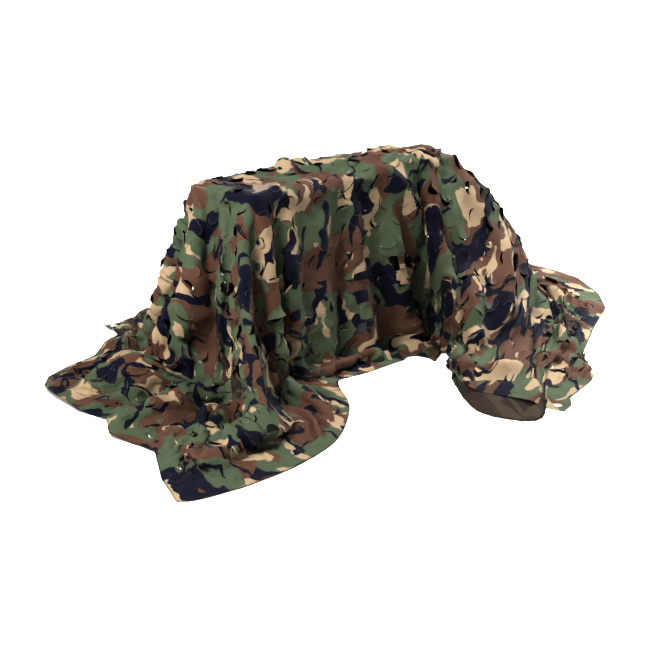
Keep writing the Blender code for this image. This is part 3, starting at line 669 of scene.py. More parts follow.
def line_ends(lines):
    """Where each fine line starts and ends on the flat cloth: at the table's edge and at the cut edge."""
    count = len(lines)
    edges = np.array([fold.edge for fold in FOLDS] + [FOLDS[0].edge + 2 * (TABLE_LENGTH + TABLE_DEPTH)])
    walk = np.interp(np.arange(count) / LINES_PER_FOLD, np.arange(len(edges)), edges)
    starts = np.array([edge_point(distance)[0] for distance in walk])
    hem = lines[:, HEM_STEP]
    steps = np.linalg.norm(np.roll(hem, -1, axis=0) - hem, axis=1)
    ends = np.zeros((count, 2))
    for (fold, point), (next_fold, next_point) in zip(HEM_MARKS, HEM_MARKS[1:] + HEM_MARKS[:1]):
        span = ((next_fold - fold) % len(FOLDS)) * LINES_PER_FOLD
        rows = (fold * LINES_PER_FOLD + np.arange(span + 1)) % count
        share = np.append(0, np.cumsum(steps[rows[:-1]]))
        share = (share / share[-1])[:, None]
        ends[rows] = (1 - share) * np.array(point) + share * np.array(next_point)
    return starts, ends


def lay_on_drape(flat):
    """Places flat points on the drape: the middle on the table top, the rest along the fold lines."""
    lines = fine_lines()
    starts, ends = line_ends(lines)
    lines, starts, ends = (np.concatenate([part, part[:1]]) for part in (lines, starts, ends))
    runs = ends - starts
    laid = np.column_stack([flat, top_height(flat)])
    over = (abs(flat[:, 0]) > TABLE_LENGTH / 2) | (abs(flat[:, 1]) > TABLE_DEPTH / 2)
    points = flat[over]
    slot = np.full(len(points), -1)
    side_before = None
    for line, (start, run) in enumerate(zip(starts, runs)):
        away = points - start
        side = run[0] * away[:, 1] - run[1] * away[:, 0]
        if line:
            ahead = away @ run > -BEHIND_SHARE * (run @ run)
            slot[(side_before >= 0) & (side < 0) & ahead & (slot < 0)] = line - 1
        side_before = side
    slot = np.clip(slot, 0, len(lines) - 2)
    low, high = np.zeros(len(points)), np.ones(len(points))
    for _ in range(HALVINGS):
        share = (low + high) / 2
        start = starts[slot] + share[:, None] * (starts[slot + 1] - starts[slot])
        run = runs[slot] + share[:, None] * (runs[slot + 1] - runs[slot])
        away = points - start
        past = run[:, 0] * away[:, 1] - run[:, 1] * away[:, 0] >= 0
        low, high = np.where(past, share, low), np.where(past, high, share)
    along = np.clip((away * run).sum(1) / (run * run).sum(1), 0, 1) * (LINE_STEPS - 1)
    step = np.minimum(along.astype(int), LINE_STEPS - 2)
    between = (along - step)[:, None]
    share = share[:, None]
    here = lines[slot, step] * (1 - between) + lines[slot, step + 1] * between
    there = lines[slot + 1, step] * (1 - between) + lines[slot + 1, step + 1] * between
    laid[over] = here * (1 - share) + there * share
    return laid


def tip_share(flat, tip):
    """How much a flat point belongs to the stiff, flat patch at a tip: 1 at the tip, 0 beyond the patch."""
    return smooth(TIP_FADE - np.linalg.norm(flat - np.array(CUT_POINT[tip.fold]), axis=-1) / TIP_PATCH)


def flat_tips(laid, flat):
    """Lays the cloth's corners flat and square round their eyelets."""
    for tip in TIPS:
        corner = np.array(CUT_POINT[tip.fold])
        inward = np.array((tip.eyelet_x - tip.x, tip.eyelet_y - tip.y))
        turn = np.arctan2(inward[1], inward[0]) - np.arctan2(-np.sign(corner[1]), -np.sign(corner[0]))
        along = np.array((np.cos(turn), np.sin(turn)))
        across = np.array((-np.sin(turn), np.cos(turn)))
        away = flat - corner
        place = np.array((tip.x, tip.y)) + away[..., :1] * along + away[..., 1:] * across
        place = np.concatenate([place, np.full_like(place[..., :1], TIP_HEIGHT)], axis=-1)
        laid = laid + tip_share(flat, tip)[..., None] * (place - laid)
    return laid


class Drape:
    """The cloth as a surface that gives a place and an outward normal for any flat point."""

    def __init__(self, cloth):
        along = np.gradient(cloth, axis=1)
        across = np.gradient(cloth, axis=0)
        normal = np.cross(along, across)
        normal /= np.linalg.norm(normal, axis=2)[..., None] + TINY
        self.places, self.normals = cloth, normal

    def read(self, table, flat):
        """The table's values at flat points, evened out between the corners of their cells."""
        share = (flat - CUT_LOW) / CELL
        column = np.clip(share[:, 0].astype(int), 0, CELLS_LONG - 1)
        row = np.clip(share[:, 1].astype(int), 0, CELLS_WIDE - 1)
        along, across = (share[:, 0] - column)[:, None], (share[:, 1] - row)[:, None]
        near = table[row, column] * (1 - along) + table[row, column + 1] * along
        far = table[row + 1, column] * (1 - along) + table[row + 1, column + 1] * along
        return near * (1 - across) + far * across

    def place(self, flat):
        """Where flat points lie."""
        return self.read(self.places, flat)

    def normal(self, flat):
        """Which way the cloth faces at flat points."""
        normal = self.read(self.normals, flat)
        return normal / (np.linalg.norm(normal, axis=1)[:, None] + TINY)


def even_out(first, second, length, push, stretch):
    """Moves each pair of points towards its cut distance, more readily when too far apart than too near."""
    apart = second - first
    distance = np.sqrt((apart * apart).sum(axis=2, keepdims=True)) + NO_LENGTH
    stiff = np.where(distance > length, stretch, push)
    move = (0.5 * stiff * (distance - length) / distance) * apart
    first += move
    second -= move


def relax_step(cloth):
    """One pass over the weave, the diagonals and the bending of the cloth."""
    for turned in (cloth, cloth.transpose(1, 0, 2)):
        for first in (0, 1):
            last = first + (len(turned) - first) // 2 * 2
            even_out(turned[first:last:2], turned[first + 1:last:2], CELL, PUSH_STIFF, 1.0)
    diagonal = CELL * 2**0.5
    for first in (0, 1):
        last = first + (cloth.shape[1] - first) // 2 * 2
        even_out(cloth[:-1, first:last:2], cloth[1:, first + 1:last:2], diagonal, SHEAR_STIFF, SHEAR_STIFF)
        even_out(cloth[1:, first:last:2], cloth[:-1, first + 1:last:2], diagonal, SHEAR_STIFF, SHEAR_STIFF)
    for span, stiff in BEND_SPANS:
        for turned in (cloth, cloth.transpose(1, 0, 2)):
            near, far = turned[:-span].copy(), turned[span:].copy()
            even_out(near, far, span * CELL, stiff, 0.0)
            push_near, push_far = near - turned[:-span], far - turned[span:]
            turned[:-span] += push_near
            turned[span:] += push_far


def stay_near(cloth, drape):
    """Keeps each point outside the drape and no further off it than the cloth may stand."""
    points = cloth.reshape(-1, 3)
    found = [drape.find_nearest(point) for point in points.tolist()]
    nearest = np.array([hit[0] for hit in found])
    normal = np.array([hit[1] for hit in found])
    off = points - nearest
    out = (off * normal).sum(axis=1)
    keep = np.clip(out, 0.0, STAND_OFF)
    far = (np.linalg.norm(off, axis=1) > STAND_OFF) | (out < 0)
    points[far] = (nearest + keep[:, None] * normal)[far]
    points[:, 2] = np.maximum(points[:, 2], FLOOR_GAP)


def rumpled(shape, cells, rng):
    """A smooth random height over the cloth, about one unit high, in patches of so many cells."""
    reach = int(BELL_REACH * cells)
    bell = np.exp(-0.5 * (np.arange(-reach, reach + 1) / cells) ** 2)
    height = rng.normal(0, 1, shape)
    for axis in (0, 1):
        height = np.apply_along_axis(np.convolve, axis, height, bell, "same")
    return height / height.std()


def held(laid):
    """How firmly each point stays where it was laid: 1 at the hem, the turned-over lobe and the tips."""
    row_edge, column_edge = (np.minimum(np.arange(count), np.arange(count)[::-1]) for count in laid.shape[:2])
    hold = smooth(1 - np.minimum(row_edge[:, None], column_edge) / HEM_HOLD)
    from_lobe = np.linalg.norm(laid[..., :2] - LOBE_AT, axis=-1) + 2 * np.maximum(laid[..., 2] - LOW_CLOTH, 0)
    hold = np.maximum(hold, smooth(LOBE_FADE - from_lobe / LOBE_HOLD))
    for tip in TIPS:
        hold = np.maximum(hold, tip_share(flat_points(), tip))
    return hold[..., None]


def relaxed(laid, rng):
    """The laid cloth with its cut lengths nearly back, buckled into small folds close to the drape."""
    rows, columns = laid.shape[:2]
    index = np.arange(rows * columns).reshape(rows, columns)
    quads = np.stack([index[:-1, :-1], index[:-1, 1:], index[1:, 1:], index[1:, :-1]], axis=-1).reshape(-1, 4)
    drape = BVHTree.FromPolygons(laid.reshape(-1, 3).tolist(), quads.tolist())
    hold = held(laid)
    cloth = laid + (1 - hold) * rng.normal(0, CRUMPLE, laid.shape)
    for _ in range(RELAX_ROUNDS):
        for _ in range(RELAX_STEPS):
            relax_step(cloth)
            cloth += hold * (laid - cloth)
        stay_near(cloth, drape)
    outward = Drape(cloth).normals
    for cells, height in WRINKLES:
        ridged = 1 - abs(rumpled((rows, columns), cells, rng))
        cloth += height * (1 - hold) * ridged[..., None] * outward
    cloth[..., 2] = np.maximum(cloth[..., 2], FLOOR_GAP)
    for tip in TIPS:
        away = np.linalg.norm(cloth[..., :2] - (tip.eyelet_x, tip.eyelet_y), axis=-1)
        rest = smooth(EYELET_FADE - away / EYELET_REST) * (cloth[..., 2] < LOW_CLOTH)
        cloth[..., 2] += rest * (TIP_HEIGHT - cloth[..., 2])
    return cloth


def flat_points():
    """The flat cloth's grid of points, as rows across it and columns along it."""
    along = CUT_LOW[0] + CELL * np.arange(CELLS_LONG + 1)
    across = CUT_LOW[1] + CELL * np.arange(CELLS_WIDE + 1)
    return np.stack(np.meshgrid(along, across), axis=-1)


def choose_leaves(rng):
    """The leaf cuts in staggered rows, each with its own size, root side and limpness."""
    leaves = []
    for line, row in enumerate(range(PLAIN_FRONT, CELLS_WIDE - PLAIN_EDGE, LEAF_PITCH)):
        shift = LEAF_PITCH // 2 if line % 2 else 0
        for column in range(PLAIN_EDGE + shift, CELLS_LONG - PLAIN_EDGE, LEAF_PITCH):
            size = LARGE_LEAF if rng.random() < LARGE_SHARE else SMALL_LEAF
            jog = rng.integers(-size.jitter, size.jitter + 1, 2)
            lobes = [(count, most * rng.random(), 2 * pi * rng.random()) for count, most in LEAF_LOBES]
            root = int(rng.integers(0, len(ring_steps(size.ring))))
            wide = int(rng.integers(*ROOT_EDGES)) * size.ring // LARGE_LEAF.ring
            leaf = Leaf(row + jog[0], column + jog[1], size, lobes, root, wide, rng.random(), rng.random())
            if rng.random() > LEAF_MISSING:
                leaves.append(leaf)
    return leaves


def ring_steps(ring):
    """Row and column steps of the square ring's points, in order round it."""
    side = list(range(-ring, ring))
    return (
        [(-ring, step) for step in side]
        + [(step, ring) for step in side]
        + [(ring, -step) for step in side]
        + [(-step, -ring) for step in side]
    )


def round_off(flat, leaf):
    """Shifts the points round a leaf so that its square ring of cells becomes a lobed circle."""
    row, column, size = leaf.row, leaf.column, leaf.size
    window = flat[row - size.room:row + size.room + 1, column - size.room:column + size.room + 1]
    steps = np.arange(-size.room, size.room + 1)
    across, along = np.meshgrid(steps, steps)
    square = np.maximum(abs(across), abs(along))
    from_middle = np.stack([across, along], axis=-1).astype(float)
    distance = np.maximum(np.linalg.norm(from_middle, axis=-1), NO_LENGTH)
    around = np.arctan2(from_middle[..., 1], from_middle[..., 0])
    reach = size.reach * (1 + sum(deep * np.cos(count * around + turn) for count, deep, turn in leaf.lobes))
    circle = from_middle / distance[..., None] * (square * reach / (size.ring * CELL))[..., None]
    share = np.clip((size.room - square) / (size.room - size.ring), 0, 1)[..., None]
    window += CELL * share * (circle - from_middle)


def coming_in(value, zone):
    """How far a value has come into its zone: 0 where the zone starts, 1 at its end."""
    return smooth((value - zone[0]) / zone[1])


def loose(place, normal):
    """How loosely the leaves hang at a place: least on the front panel, most at the table's edges."""
    on_panel = smooth((PANEL_HALF - abs(place[0] - PANEL_MIDDLE)) / PANEL_FADE)
    front = coming_in(-normal[1], FACING_FRONT) * on_panel
    back = coming_in(normal[1], FACING_BACK)
    edge = coming_in(place[2], EDGE_ZONE) * smooth(LEVEL_EDGE - normal[2])
    return max(LEAST_SLACK, 1 - FRONT_TAUT * front - BACK_TAUT * back) * (1 + EDGE_SLACK * edge)


def flap_curl(place, run, normal, length, high, leaf):
    """How far a leaf curls off the cloth at its root, in radians. run goes from its root to its tip."""
    rise = run @ normal
    up = run[2] / (np.linalg.norm(run) + NO_LENGTH)
    slack = loose(place, normal) * (FLOOR_SLACK + (1 - FLOOR_SLACK) * high)
    least, more = LYING_CURL
    curl = least + more * leaf.limp * slack
    if up > HANGING_UP and normal[2] < STEEP:
        least, more = HANGING_CURL
        curl = least + more * slack * leaf.limp * leaf.limp
    elif leaf.lift < LIFTED_SHARE * slack * high:
        least, more = TOP_CURL if normal[2] > LEVEL and place[2] > ON_TOP else LIFTED_CURL
        curl = least + more * leaf.limp
    curl = radians(curl)
    if rise < 0:
        curl += slack * min(FALL_MOST, FALL_SHARE * -rise / length)
    for axis, facing, least, more in CAPPED_SIDES:
        if normal[axis] > facing and place[2] > CAPPED_ABOVE:
            curl = min(curl, radians(least + more * leaf.limp))
    return max(curl, 2.0 * (rise + CUT_CLEAR) / length)


def bend_flap(drape, flat, root_a, root_b, centre, leaf):
    """Places of a leaf's own points: hinged at its root and curled off the cloth."""
    middle = (root_a + root_b) / 2
    place = drape.place(middle[None])[0]
    high = coming_in(place[2], HIGH_ZONE)
    flat = centre + (flat - centre) * (FLAP_SHRINK[0] + high * (FLAP_SHRINK[1] - FLAP_SHRINK[0]))
    along = root_b - root_a
    lean = np.array((-along[1], along[0])) / np.linalg.norm(along)
    if (centre - middle) @ lean < 0:
        lean = -lean
    depth = np.maximum((flat - middle) @ lean, 0)
    length = max(depth.max(), 1e-4)
    hinge = flat - depth[:, None] * lean
    run = drape.place((middle + length * lean)[None])[0] - place
    curl = flap_curl(place, run, drape.normal(middle[None])[0], length, high, leaf)
    out = length / curl * (1 - np.cos(curl * depth / length))
    forward = length / curl * np.sin(curl * depth / length)

    tangent = drape.place(hinge + 0.5 * CELL * lean) - drape.place(hinge)
    tangent /= np.linalg.norm(tangent, axis=1)[:, None] + TINY
    hinge_normal = drape.normal(hinge)
    stiff = drape.place(hinge) + forward[:, None] * tangent + out[:, None] * hinge_normal
    soft = drape.place(flat) + out[:, None] * hinge_normal - (depth - forward)[:, None] * tangent
    return FOLLOW_SHARE * soft + (1 - FOLLOW_SHARE) * stiff


def cut_sheet(flat, leaves):
    """The flat sheet with its leaf cuts open and each leaf's cells numbered, and the ends of each root."""
    cloth = bmesh.new()
    bmesh.ops.create_grid(cloth, x_segments=CELLS_LONG, y_segments=CELLS_WIDE, size=0.5)
    width = CELLS_LONG + 1
    points = flat.reshape(-1, 2)
    cloth.verts.ensure_lookup_table()
    for vert, point in zip(cloth.verts, points.tolist()):
        vert.co = (*point, 0)
    edge_between = {frozenset(vert.index for vert in edge.verts): edge for edge in cloth.edges}
    cuts, roots = [], []
    leaf_layer = cloth.faces.layers.int.new("leaf")
    cloth.faces.ensure_lookup_table()
    for number, leaf in enumerate(leaves, 1):
        row, column, reach = leaf.row, leaf.column, leaf.size.ring
        ring = [(row + a) * width + column + b for a, b in ring_steps(reach)]
        edges = len(ring)
        for step in range(leaf.root + leaf.wide, leaf.root + edges):
            cuts.append(edge_between[frozenset((ring[step % edges], ring[(step + 1) % edges]))])
        roots.append((points[ring[leaf.root]], points[ring[(leaf.root + leaf.wide) % edges]]))
        for cell_row in range(row - reach, row + reach):
            for cell_column in range(column - reach, column + reach):
                cloth.faces[cell_row * CELLS_LONG + cell_column][leaf_layer] = number
    bmesh.ops.split_edges(cloth, edges=cuts)
    return smooth_mesh("camouflage_net", cloth), roots


def read_all(items, name, width, kind):
    """A row of values for each of a mesh's points, corners, edges or faces."""
    values = np.empty(len(items) * width, kind)
    items.foreach_get(name, values)
    return values.reshape(-1, width)


def net_mesh(drape, leaves, origin):
    """The net: the flat sheet with its leaf cuts, then placed on the drape with its leaves curled."""
    flat = flat_points()
    for leaf in leaves:
        round_off(flat, leaf)
    mesh, roots = cut_sheet(flat, leaves)
    points = read_all(mesh.vertices, "co", 3, np.float32)[:, :2].astype(float)
    corners = read_all(mesh.loops, "vertex_index", 1, np.int32)[:, 0]
    face_leaf = read_all(mesh.attributes["leaf"].data, "value", 1, np.int32)[:, 0]
    edge_ends = read_all(mesh.edges, "vertices", 2, np.int32)
    loop_edges = read_all(mesh.loops, "edge_index", 1, np.int32)[:, 0]

    count = len(points)
    lowest, highest = np.full(count, len(leaves) + 1), np.full(count, -1)
    np.minimum.at(lowest, corners, np.repeat(face_leaf, 4))
    np.maximum.at(highest, corners, np.repeat(face_leaf, 4))
    rims = np.zeros(count, bool)
    rims[edge_ends[np.bincount(loop_edges, minlength=len(edge_ends)) == 1]] = True

    places = drape.place(points)
    cut_edge = np.zeros(count, np.float32)
    order = np.argsort(lowest, kind="stable")
    firsts = np.searchsorted(lowest[order], np.arange(1, len(leaves) + 2))
    for number, (leaf, root) in enumerate(zip(leaves, roots)):
        own = order[firsts[number]:firsts[number + 1]]
        own = own[highest[own] == number + 1]
        cut_edge[own[rims[own]]] = 1
        places[own] = bend_flap(drape, points[own], *root, flat[leaf.row, leaf.column], leaf)
    places[:, 2] = np.maximum(places[:, 2], FLOOR_GAP)
    mesh.vertices.foreach_set("co", (places + origin).astype(np.float32).reshape(-1))
    pattern = mesh.uv_layers.new(name="cut")
    pattern.data.foreach_set("uv", points[corners].astype(np.float32).reshape(-1))
    edges = mesh.attributes.new("cut_edge", "FLOAT", "POINT")
    edges.data.foreach_set("value", cut_edge)
    mesh.attributes.remove(mesh.attributes["leaf"])
    punch_eyelets(mesh, origin)
    mesh.shade_smooth()
    return mesh


def punch_eyelets(mesh, origin):
    """Takes out the cells of cloth inside each eyelet's flange."""
    cloth = bmesh.new()
    cloth.from_mesh(mesh)
    for tip in TIPS:
        middle = Vector((tip.eyelet_x, tip.eyelet_y, TIP_HEIGHT)) + Vector(origin)
        inside = [face for face in cloth.faces if (face.calc_center_median() - middle).length < PUNCH_REACH]
        bmesh.ops.delete(cloth, geom=inside, context="FACES")
    cloth.to_mesh(mesh)
    cloth.free()


def lining_mesh(face_mesh):
    """The back of the cloth: the same sheet, a cloth's thickness behind it and facing the other way."""
    lining = bmesh.new()
    lining.from_mesh(face_mesh)
    bmesh.ops.reverse_faces(lining, faces=lining.faces)
    lining.normal_update()
    for vert in lining.verts:
        vert.co += CLOTH_THICK * vert.normal
        vert.co.z = max(vert.co.z, LINING_FLOOR)
    return smooth_mesh("net_lining", lining)


def hem_mesh(lining):
    """The cloth's edge turned in and lying on the lining, its outer fold closed onto the printed side."""
    hem = bmesh.new()
    hem.from_mesh(lining)
    cut = hem.loops.layers.uv["cut"]

    def inset(loop):
        """How far a corner's flat point lies inside the cut edge."""
        x, y = loop[cut].uv
        return min(x - CUT_LOW[0], CUT_HIGH[0] - x, y - CUT_LOW[1], CUT_HIGH[1] - y)

    inner = [face for face in hem.faces if max(inset(loop) for loop in face.loops) > HEM_TURN]
    bmesh.ops.delete(hem, geom=inner, context="FACES")
    hem.normal_update()
    for vert in hem.verts:
        vert.co += HEM_THICK * vert.normal
        vert.co.z = max(vert.co.z, HEM_FLOOR)
    normals = {vert: vert.normal.copy() for vert in hem.verts}
    outer = []
    for edge in hem.edges:
        loops = list(edge.link_loops)
        if len(loops) == 1 and max(inset(loops[0]), inset(loops[0].link_loop_next)) < AT_CUT_EDGE:
            outer.append(edge)
    made = bmesh.ops.extrude_edge_only(hem, edges=outer)["geom"]
    for vert in made:
        if isinstance(vert, bmesh.types.BMVert):
            others = [edge.other_vert(vert) for edge in vert.link_edges]
            near = min((other for other in others if other in normals),
                       key=lambda other: (other.co - vert.co).length)
            vert.co -= (HEM_THICK + CLOTH_THICK) * normals[near]
    return smooth_mesh("net_hem", hem)


def thread_mesh(drape, origin):
    """The hem's stitches, on the printed side and on the lining, in a line a little inside the cut edge."""
    low, high = CUT_LOW + STITCH_INSET, CUT_HIGH - STITCH_INSET
    corners = np.array([low, (high[0], low[1]), high, (low[0], high[1])])
    thread = bmesh.new()
    for first, second in zip(corners, np.roll(corners, -1, axis=0)):
        length = np.linalg.norm(second - first)
        along = (second - first) / length
        middles = first + np.arange(STITCH_PITCH, length - STITCH_PITCH, STITCH_PITCH)[:, None] * along
        starts = drape.place(middles - 0.5 * STITCH_LENGTH * along)
        ends = drape.place(middles + 0.5 * STITCH_LENGTH * along)
        for place, normal, run in zip(drape.place(middles), drape.normal(middles), ends - starts):
            run = Vector(run).normalized()
            out = Vector(normal)
            out = (out - out.dot(run) * run).normalized()
            turn = Matrix((out, run.cross(out), run)).transposed().to_4x4()
            for stand in (STITCH_STAND, -STITCH_STAND - CLOTH_THICK - HEM_THICK):
                middle = Vector(place) + stand * out
                middle.z = max(middle.z, STITCH_FLOOR)
                turn.translation = middle + Vector(origin)
                bmesh.ops.create_cone(thread, cap_ends=True, segments=THREAD_SIDES, radius1=THREAD_RADIUS,
                                      radius2=THREAD_RADIUS, depth=STITCH_LENGTH, matrix=turn)
    bmesh.ops.recalc_face_normals(thread, faces=thread.faces)
    return smooth_mesh("hem_stitches", thread)


class Nodes:
    """A material's node tree, with short ways to add to it."""

    def __init__(self, name):
        self.made = bpy.data.materials.new(name)
        self.made.use_nodes = True
        self.tree = self.made.node_tree
        self.shader = self.tree.nodes["Principled BSDF"]

    def feed(self, socket, value):
        """Links another node's output to a socket, or sets its plain value."""
        if hasattr(value, "is_output"):
            self.tree.links.new(value, socket)
        else:
            socket.default_value = value

    def add(self, kind, inputs=(), **settings):
        """A new node with its settings and inputs."""
        made = self.tree.nodes.new("ShaderNode" + kind)
        for setting, value in settings.items():
            setattr(made, setting, value)
        for name, value in dict(inputs).items():
            self.feed(made.inputs[name], value)
        return made

    def set(self, **inputs):
        """Sets the shader's own inputs, their names written with underscores."""
        for name, value in inputs.items():
            self.feed(self.shader.inputs[name.replace("_", " ")], value)

    def math(self, operation, first, second=0.0, third=0.0):
        return self.add("Math", {0: first, 1: second, 2: third}, operation=operation).outputs[0]

    def vector(self, operation, first, second):
        return self.add("VectorMath", {0: first, 3 if operation == "SCALE" else 1: second},
                        operation=operation).outputs[0]

    def noise(self, place, scale, detail, rough, output="Fac"):
        return self.add("TexNoise", {"Vector": place, "Scale": scale, "Detail": detail,
                                     "Roughness": rough}).outputs[output]

    def moved(self, place, shift, turn=0.0, scale=(1, 1, 1)):
        return self.add("Mapping", {"Vector": place, "Location": shift, "Rotation": (0, 0, turn),
                                    "Scale": scale}).outputs[0]

    def step(self, value, edge):
        """An eased step from 0 at the edge's lower value to 1 at its upper."""
        return self.add("MapRange", {"Value": value, "From Min": edge[0], "From Max": edge[1]},
                        interpolation_type="SMOOTHSTEP").outputs[0]

    def mix(self, share, first, second, blend="MIX"):
        """Two colours mixed, the second by its share."""
        made = self.add("Mix", data_type="RGBA", blend_type=blend)
        for socket, value in ((0, share), (6, first), (7, second)):
            self.feed(made.inputs[socket], (*value, 1) if isinstance(value, tuple) else value)
        return made.outputs[2]

    def bump(self, height, strength, distance):
        return self.add("Bump", {"Strength": strength, "Distance": distance, "Height": height}).outputs[0]

    def threads(self, place, direction):
        """Ridges of the cloth's threads that follow each other in a direction."""
        made = self.add("TexWave", {"Vector": place, "Scale": WEAVE_SCALE}, bands_direction=direction)
        return made.outputs["Fac"]

    def frayed_and_highlit(self, color, share, pale):
        """The colour with pale thread where the cut frays and a painted highlight, along the leaf cuts."""
        edge = self.add("Attribute", attribute_name="cut_edge").outputs["Fac"]
        # Where the painted highlight and pale thread go: the cut edges, narrowed
        edge = self.math("POWER", edge, FRAY_HIGHLIGHT_POWER)
        return self.mix(self.math("MULTIPLY", edge, share), color, pale)


def woodland(nodes, place):
    """Four-colour blotches on the cut cloth: green ground, then brown, tan and branching navy on top."""
    wander = nodes.vector("SUBTRACT", nodes.noise(place, *WANDER_NOISE, "Color"), (0.5, 0.5, 0.5))
    place = nodes.vector("ADD", place, nodes.vector("SCALE", wander, BLOTCH_WANDER))

    def field(blotch):
        """The noise that a blotch's outline is read from."""
        place_there = nodes.moved(place, blotch.shift, blotch.turn, blotch.stretch)
        return nodes.noise(place_there, blotch.scale, blotch.detail, BLOTCH_ROUGH)

    brown = nodes.step(field(BROWN_BLOTCH), BROWN_EDGE)
    tan = nodes.step(field(TAN_BLOTCH), TAN_EDGE)
    wide = nodes.step(field(NAVY_BLOTCH), NAVY_EDGE)
    bands = nodes.math("ABSOLUTE", nodes.math("SUBTRACT", field(NAVY_BAND), 0.5))
    width = nodes.math("MULTIPLY_ADD", field(NAVY_BREAK), *BAND_WIDTH)
    band = nodes.step(nodes.math("SUBTRACT", width, bands), BAND_EDGE)
    color = nodes.mix(brown, PRINT_GREEN, PRINT_BROWN)
    color = nodes.mix(tan, color, PRINT_TAN)
    return nodes.mix(nodes.math("MAXIMUM", wide, band), color, PRINT_NAVY)


def net_print():
    """The printed side: woodland dyes, unevenly faded, with pale cut edges that are partly fraying thread and
    partly painted highlight, and a fine plain weave.
    """
    nodes = Nodes("woodland_print")
    place = nodes.add("UVMap", uv_map="cut").outputs[0]
    fade = nodes.noise(place, *PRINT_FADE)
    color = nodes.mix(nodes.math("MULTIPLY", fade, 0.3), woodland(nodes, place), PRINT_FADED, "SOFT_LIGHT")
    # Painted highlight and pale fraying thread along the leaf cuts
    color = nodes.frayed_and_highlit(color, nodes.math("MULTIPLY", fade, 0.30), PRINT_FRAY_HIGHLIGHT)
    weave = nodes.math("ADD", nodes.threads(place, "X"), nodes.threads(place, "Y"))
    rough = nodes.math("MULTIPLY_ADD", nodes.step(fade, (0.2, 0.8)), 0.12, 0.66)
    nodes.set(Base_Color=color, Roughness=rough, Normal=nodes.bump(weave, *WEAVE_BUMP),
              Sheen_Weight=0.02, Sheen_Roughness=0.5, Specular_IOR_Level=0.06)
    return nodes.made


def net_lining():
    """The cloth's unprinted side, where the dyes show through dull and brown."""
    nodes = Nodes("net_lining")
    place = nodes.add("UVMap", uv_map="cut").outputs[0]
    color = nodes.mix(0.10, LINING_BROWN, woodland(nodes, place))
    color = nodes.mix(nodes.math("MULTIPLY", nodes.noise(place, *LINING_FADE), 0.12), color, LINING_DUST)
    # Painted highlight and pale fraying thread along the lining's leaf cuts
    nodes.set(Base_Color=nodes.frayed_and_highlit(color, 0.4, LINING_FRAY_HIGHLIGHT), Roughness=0.85, Specular_IOR_Level=0.12,
              Normal=nodes.bump(nodes.threads(place, "X"), *WEAVE_BUMP))
    return nodes.made


def table_stain():
    """Dark stained wood with a long grain."""
    nodes = Nodes("table_stain")
    place = nodes.add("TexCoord").outputs["Object"]
    grain = nodes.noise(nodes.moved(place, (0, 0, 0), 0.0, (3.0, 60.0, 60.0)), *STAIN_GRAIN)
    rings = nodes.noise(nodes.moved(place, (2, 1, 0), 0.0, (1.0, 14.0, 14.0)), *STAIN_RING)
    color = nodes.mix(nodes.step(grain, (0.35, 0.65)), STAIN_DEEP, STAIN_LIGHT)
    color = nodes.mix(nodes.math("MULTIPLY", rings, 0.5), color, STAIN_RINGS)
    nodes.set(Base_Color=color, Roughness=nodes.math("MULTIPLY_ADD", grain, 0.2, 0.4),
              Normal=nodes.bump(grain, *GRAIN_BUMP))
    return nodes.made


def eyelet_metal():
    """Pressed nickel-plated brass, a little scuffed."""
    nodes = Nodes("eyelet_nickel")
    scuff = nodes.noise(nodes.add("TexCoord").outputs["Object"], *NICKEL_SCUFF)
    nodes.set(Base_Color=nodes.mix(scuff, NICKEL_DULL, NICKEL_BRIGHT), Metallic=1.0,
              Roughness=nodes.math("MULTIPLY_ADD", scuff, 0.3, 0.2))
    return nodes.made


def hem_thread():
    """Dull olive sewing thread."""
    nodes = Nodes("hem_thread")
    twist = nodes.noise(nodes.add("TexCoord").outputs["Object"], *THREAD_TWIST)
    nodes.set(Base_Color=nodes.mix(twist, THREAD_DARK, THREAD_LIGHT), Specular_IOR_Level=0.2,
              Roughness=nodes.math("MULTIPLY_ADD", twist, 0.2, 0.6))
    return nodes.made


def floor_paint():
    """Matt white paint of the studio floor and wall."""
    nodes = Nodes("studio_white")
    nodes.set(Base_Color=FLOOR_WHITE, Roughness=0.9, Specular_IOR_Level=0.1)
    return nodes.made


def in_scene(name, data):
    """A new object of this name in the scene."""
    made = bpy.data.objects.new(name, data)
    bpy.context.scene.collection.objects.link(made)
    return made


def wear(piece, finish):
    """Gives a piece its only material."""
    piece.data.materials.clear()
    piece.data.materials.append(finish)
    return piece


def studio_floor():
    """A round floor whose rim curves up into a wall."""
    floor = bmesh.new()
    profile = [(0, 0)] + [
        (STUDIO_REACH - STUDIO_CURVE * (1 - sin(turn)), STUDIO_CURVE * (1 - cos(turn)))
        for turn in np.linspace(0, pi / 2, CURVE_POINTS)
    ] + [(STUDIO_REACH, STUDIO_WALL)]
    line = [floor.verts.new((reach, 0, height)) for reach, height in profile]
    for first, second in zip(line, line[1:]):
        floor.edges.new((first, second))
    bmesh.ops.spin(floor, geom=floor.verts[:] + floor.edges[:], axis=(0, 0, 1), angle=2 * pi,
                   steps=STUDIO_SIDES, use_merge=True)
    bmesh.ops.remove_doubles(floor, verts=floor.verts, dist=0.0001)
    bmesh.ops.recalc_face_normals(floor, faces=floor.faces)
    if floor.faces[0].normal.z < 0:
        bmesh.ops.reverse_faces(floor, faces=floor.faces)
    wear(in_scene("studio_floor", smooth_mesh("studio_floor", floor)), floor_paint())


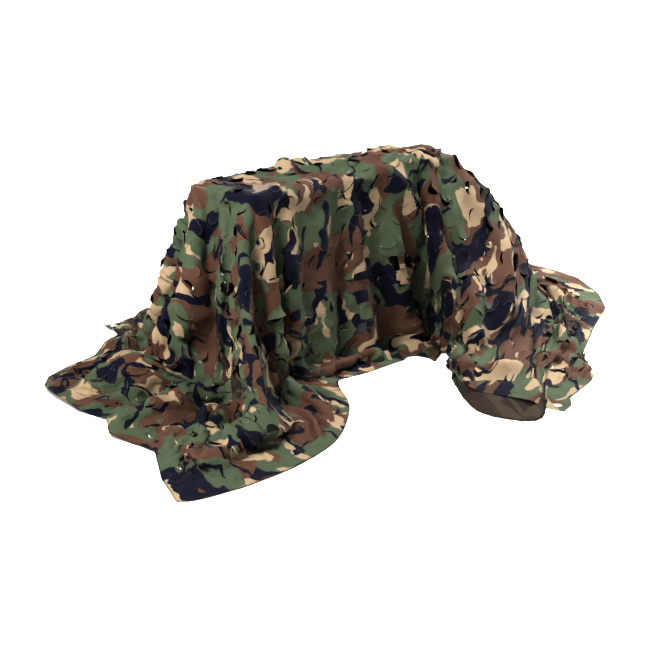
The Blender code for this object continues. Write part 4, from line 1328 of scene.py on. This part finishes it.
def studio(middle):
    """The floor, soft lights and the camera, set out from the table's middle."""
    studio_floor()
    scene = bpy.context.scene
    scene.world = bpy.data.worlds.new("studio")
    scene.world.use_nodes = True
    backdrop = scene.world.node_tree.nodes["Background"]
    backdrop.inputs["Color"].default_value = (*WHITE, 1)
    backdrop.inputs["Strength"].default_value = WORLD_STRENGTH

    for lamp in LAMPS:
        light = bpy.data.lights.new(lamp.name, "AREA")
        light.shape = "RECTANGLE"
        light.size = light.size_y = lamp.across
        light.energy = lamp.power
        light.color = lamp.color
        light.spread = radians(lamp.spread)
        made = in_scene(lamp.name, light)
        made.location = Vector(lamp.place) + middle
        made.rotation_euler = (Vector(lamp.aim) - made.location).to_track_quat("-Z", "Y").to_euler()

    lens = bpy.data.cameras.new("camera")
    lens.lens = CAMERA_LENS
    lens.sensor_width = FILM_WIDTH
    camera = in_scene("camera", lens)
    camera.location = Vector(CAMERA_PLACE) + middle
    camera.rotation_euler = tuple(radians(angle) for angle in CAMERA_TURN)
    scene.camera = camera
    scene.view_settings.view_transform = "Standard"
    scene.view_settings.gamma = VIEW_GAMMA


def main():
    """Sets up the studio, makes the cloth's pieces and gives the table and eyelets their finish."""
    low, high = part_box("table_top")
    origin = np.array(((low[0] + high[0]) / 2, (low[1] + high[1]) / 2, 0.0))
    studio(Vector(origin))
    rng = np.random.default_rng(11)
    leaves = choose_leaves(rng)
    flat = flat_points()
    laid = flat_tips(lay_on_drape(flat.reshape(-1, 2)).reshape(*flat.shape[:2], 3), flat)
    drape = Drape(relaxed(laid, rng))

    net = wear(in_scene("net", net_mesh(drape, leaves, origin)), net_print())
    lining = wear(in_scene("net_lining", lining_mesh(net.data)), net_lining())
    hem = wear(in_scene("net_hem", hem_mesh(lining.data)), net.data.materials[0])
    thread = wear(in_scene("hem_stitches", thread_mesh(drape, origin)), hem_thread())
    for piece in (net, lining, hem, thread):
        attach(piece, "root")
    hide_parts("net_cloth", "corner_front_right", "corner_back_right", "corner_back_left")

    stain, nickel = table_stain(), eyelet_metal()
    for piece in list(bpy.data.objects):
        if piece.name.startswith(("table_top", "leg_", "rail_")):
            wear(piece, stain)
        elif piece.name.startswith("eyelet_"):
            wear(piece, nickel)


main()
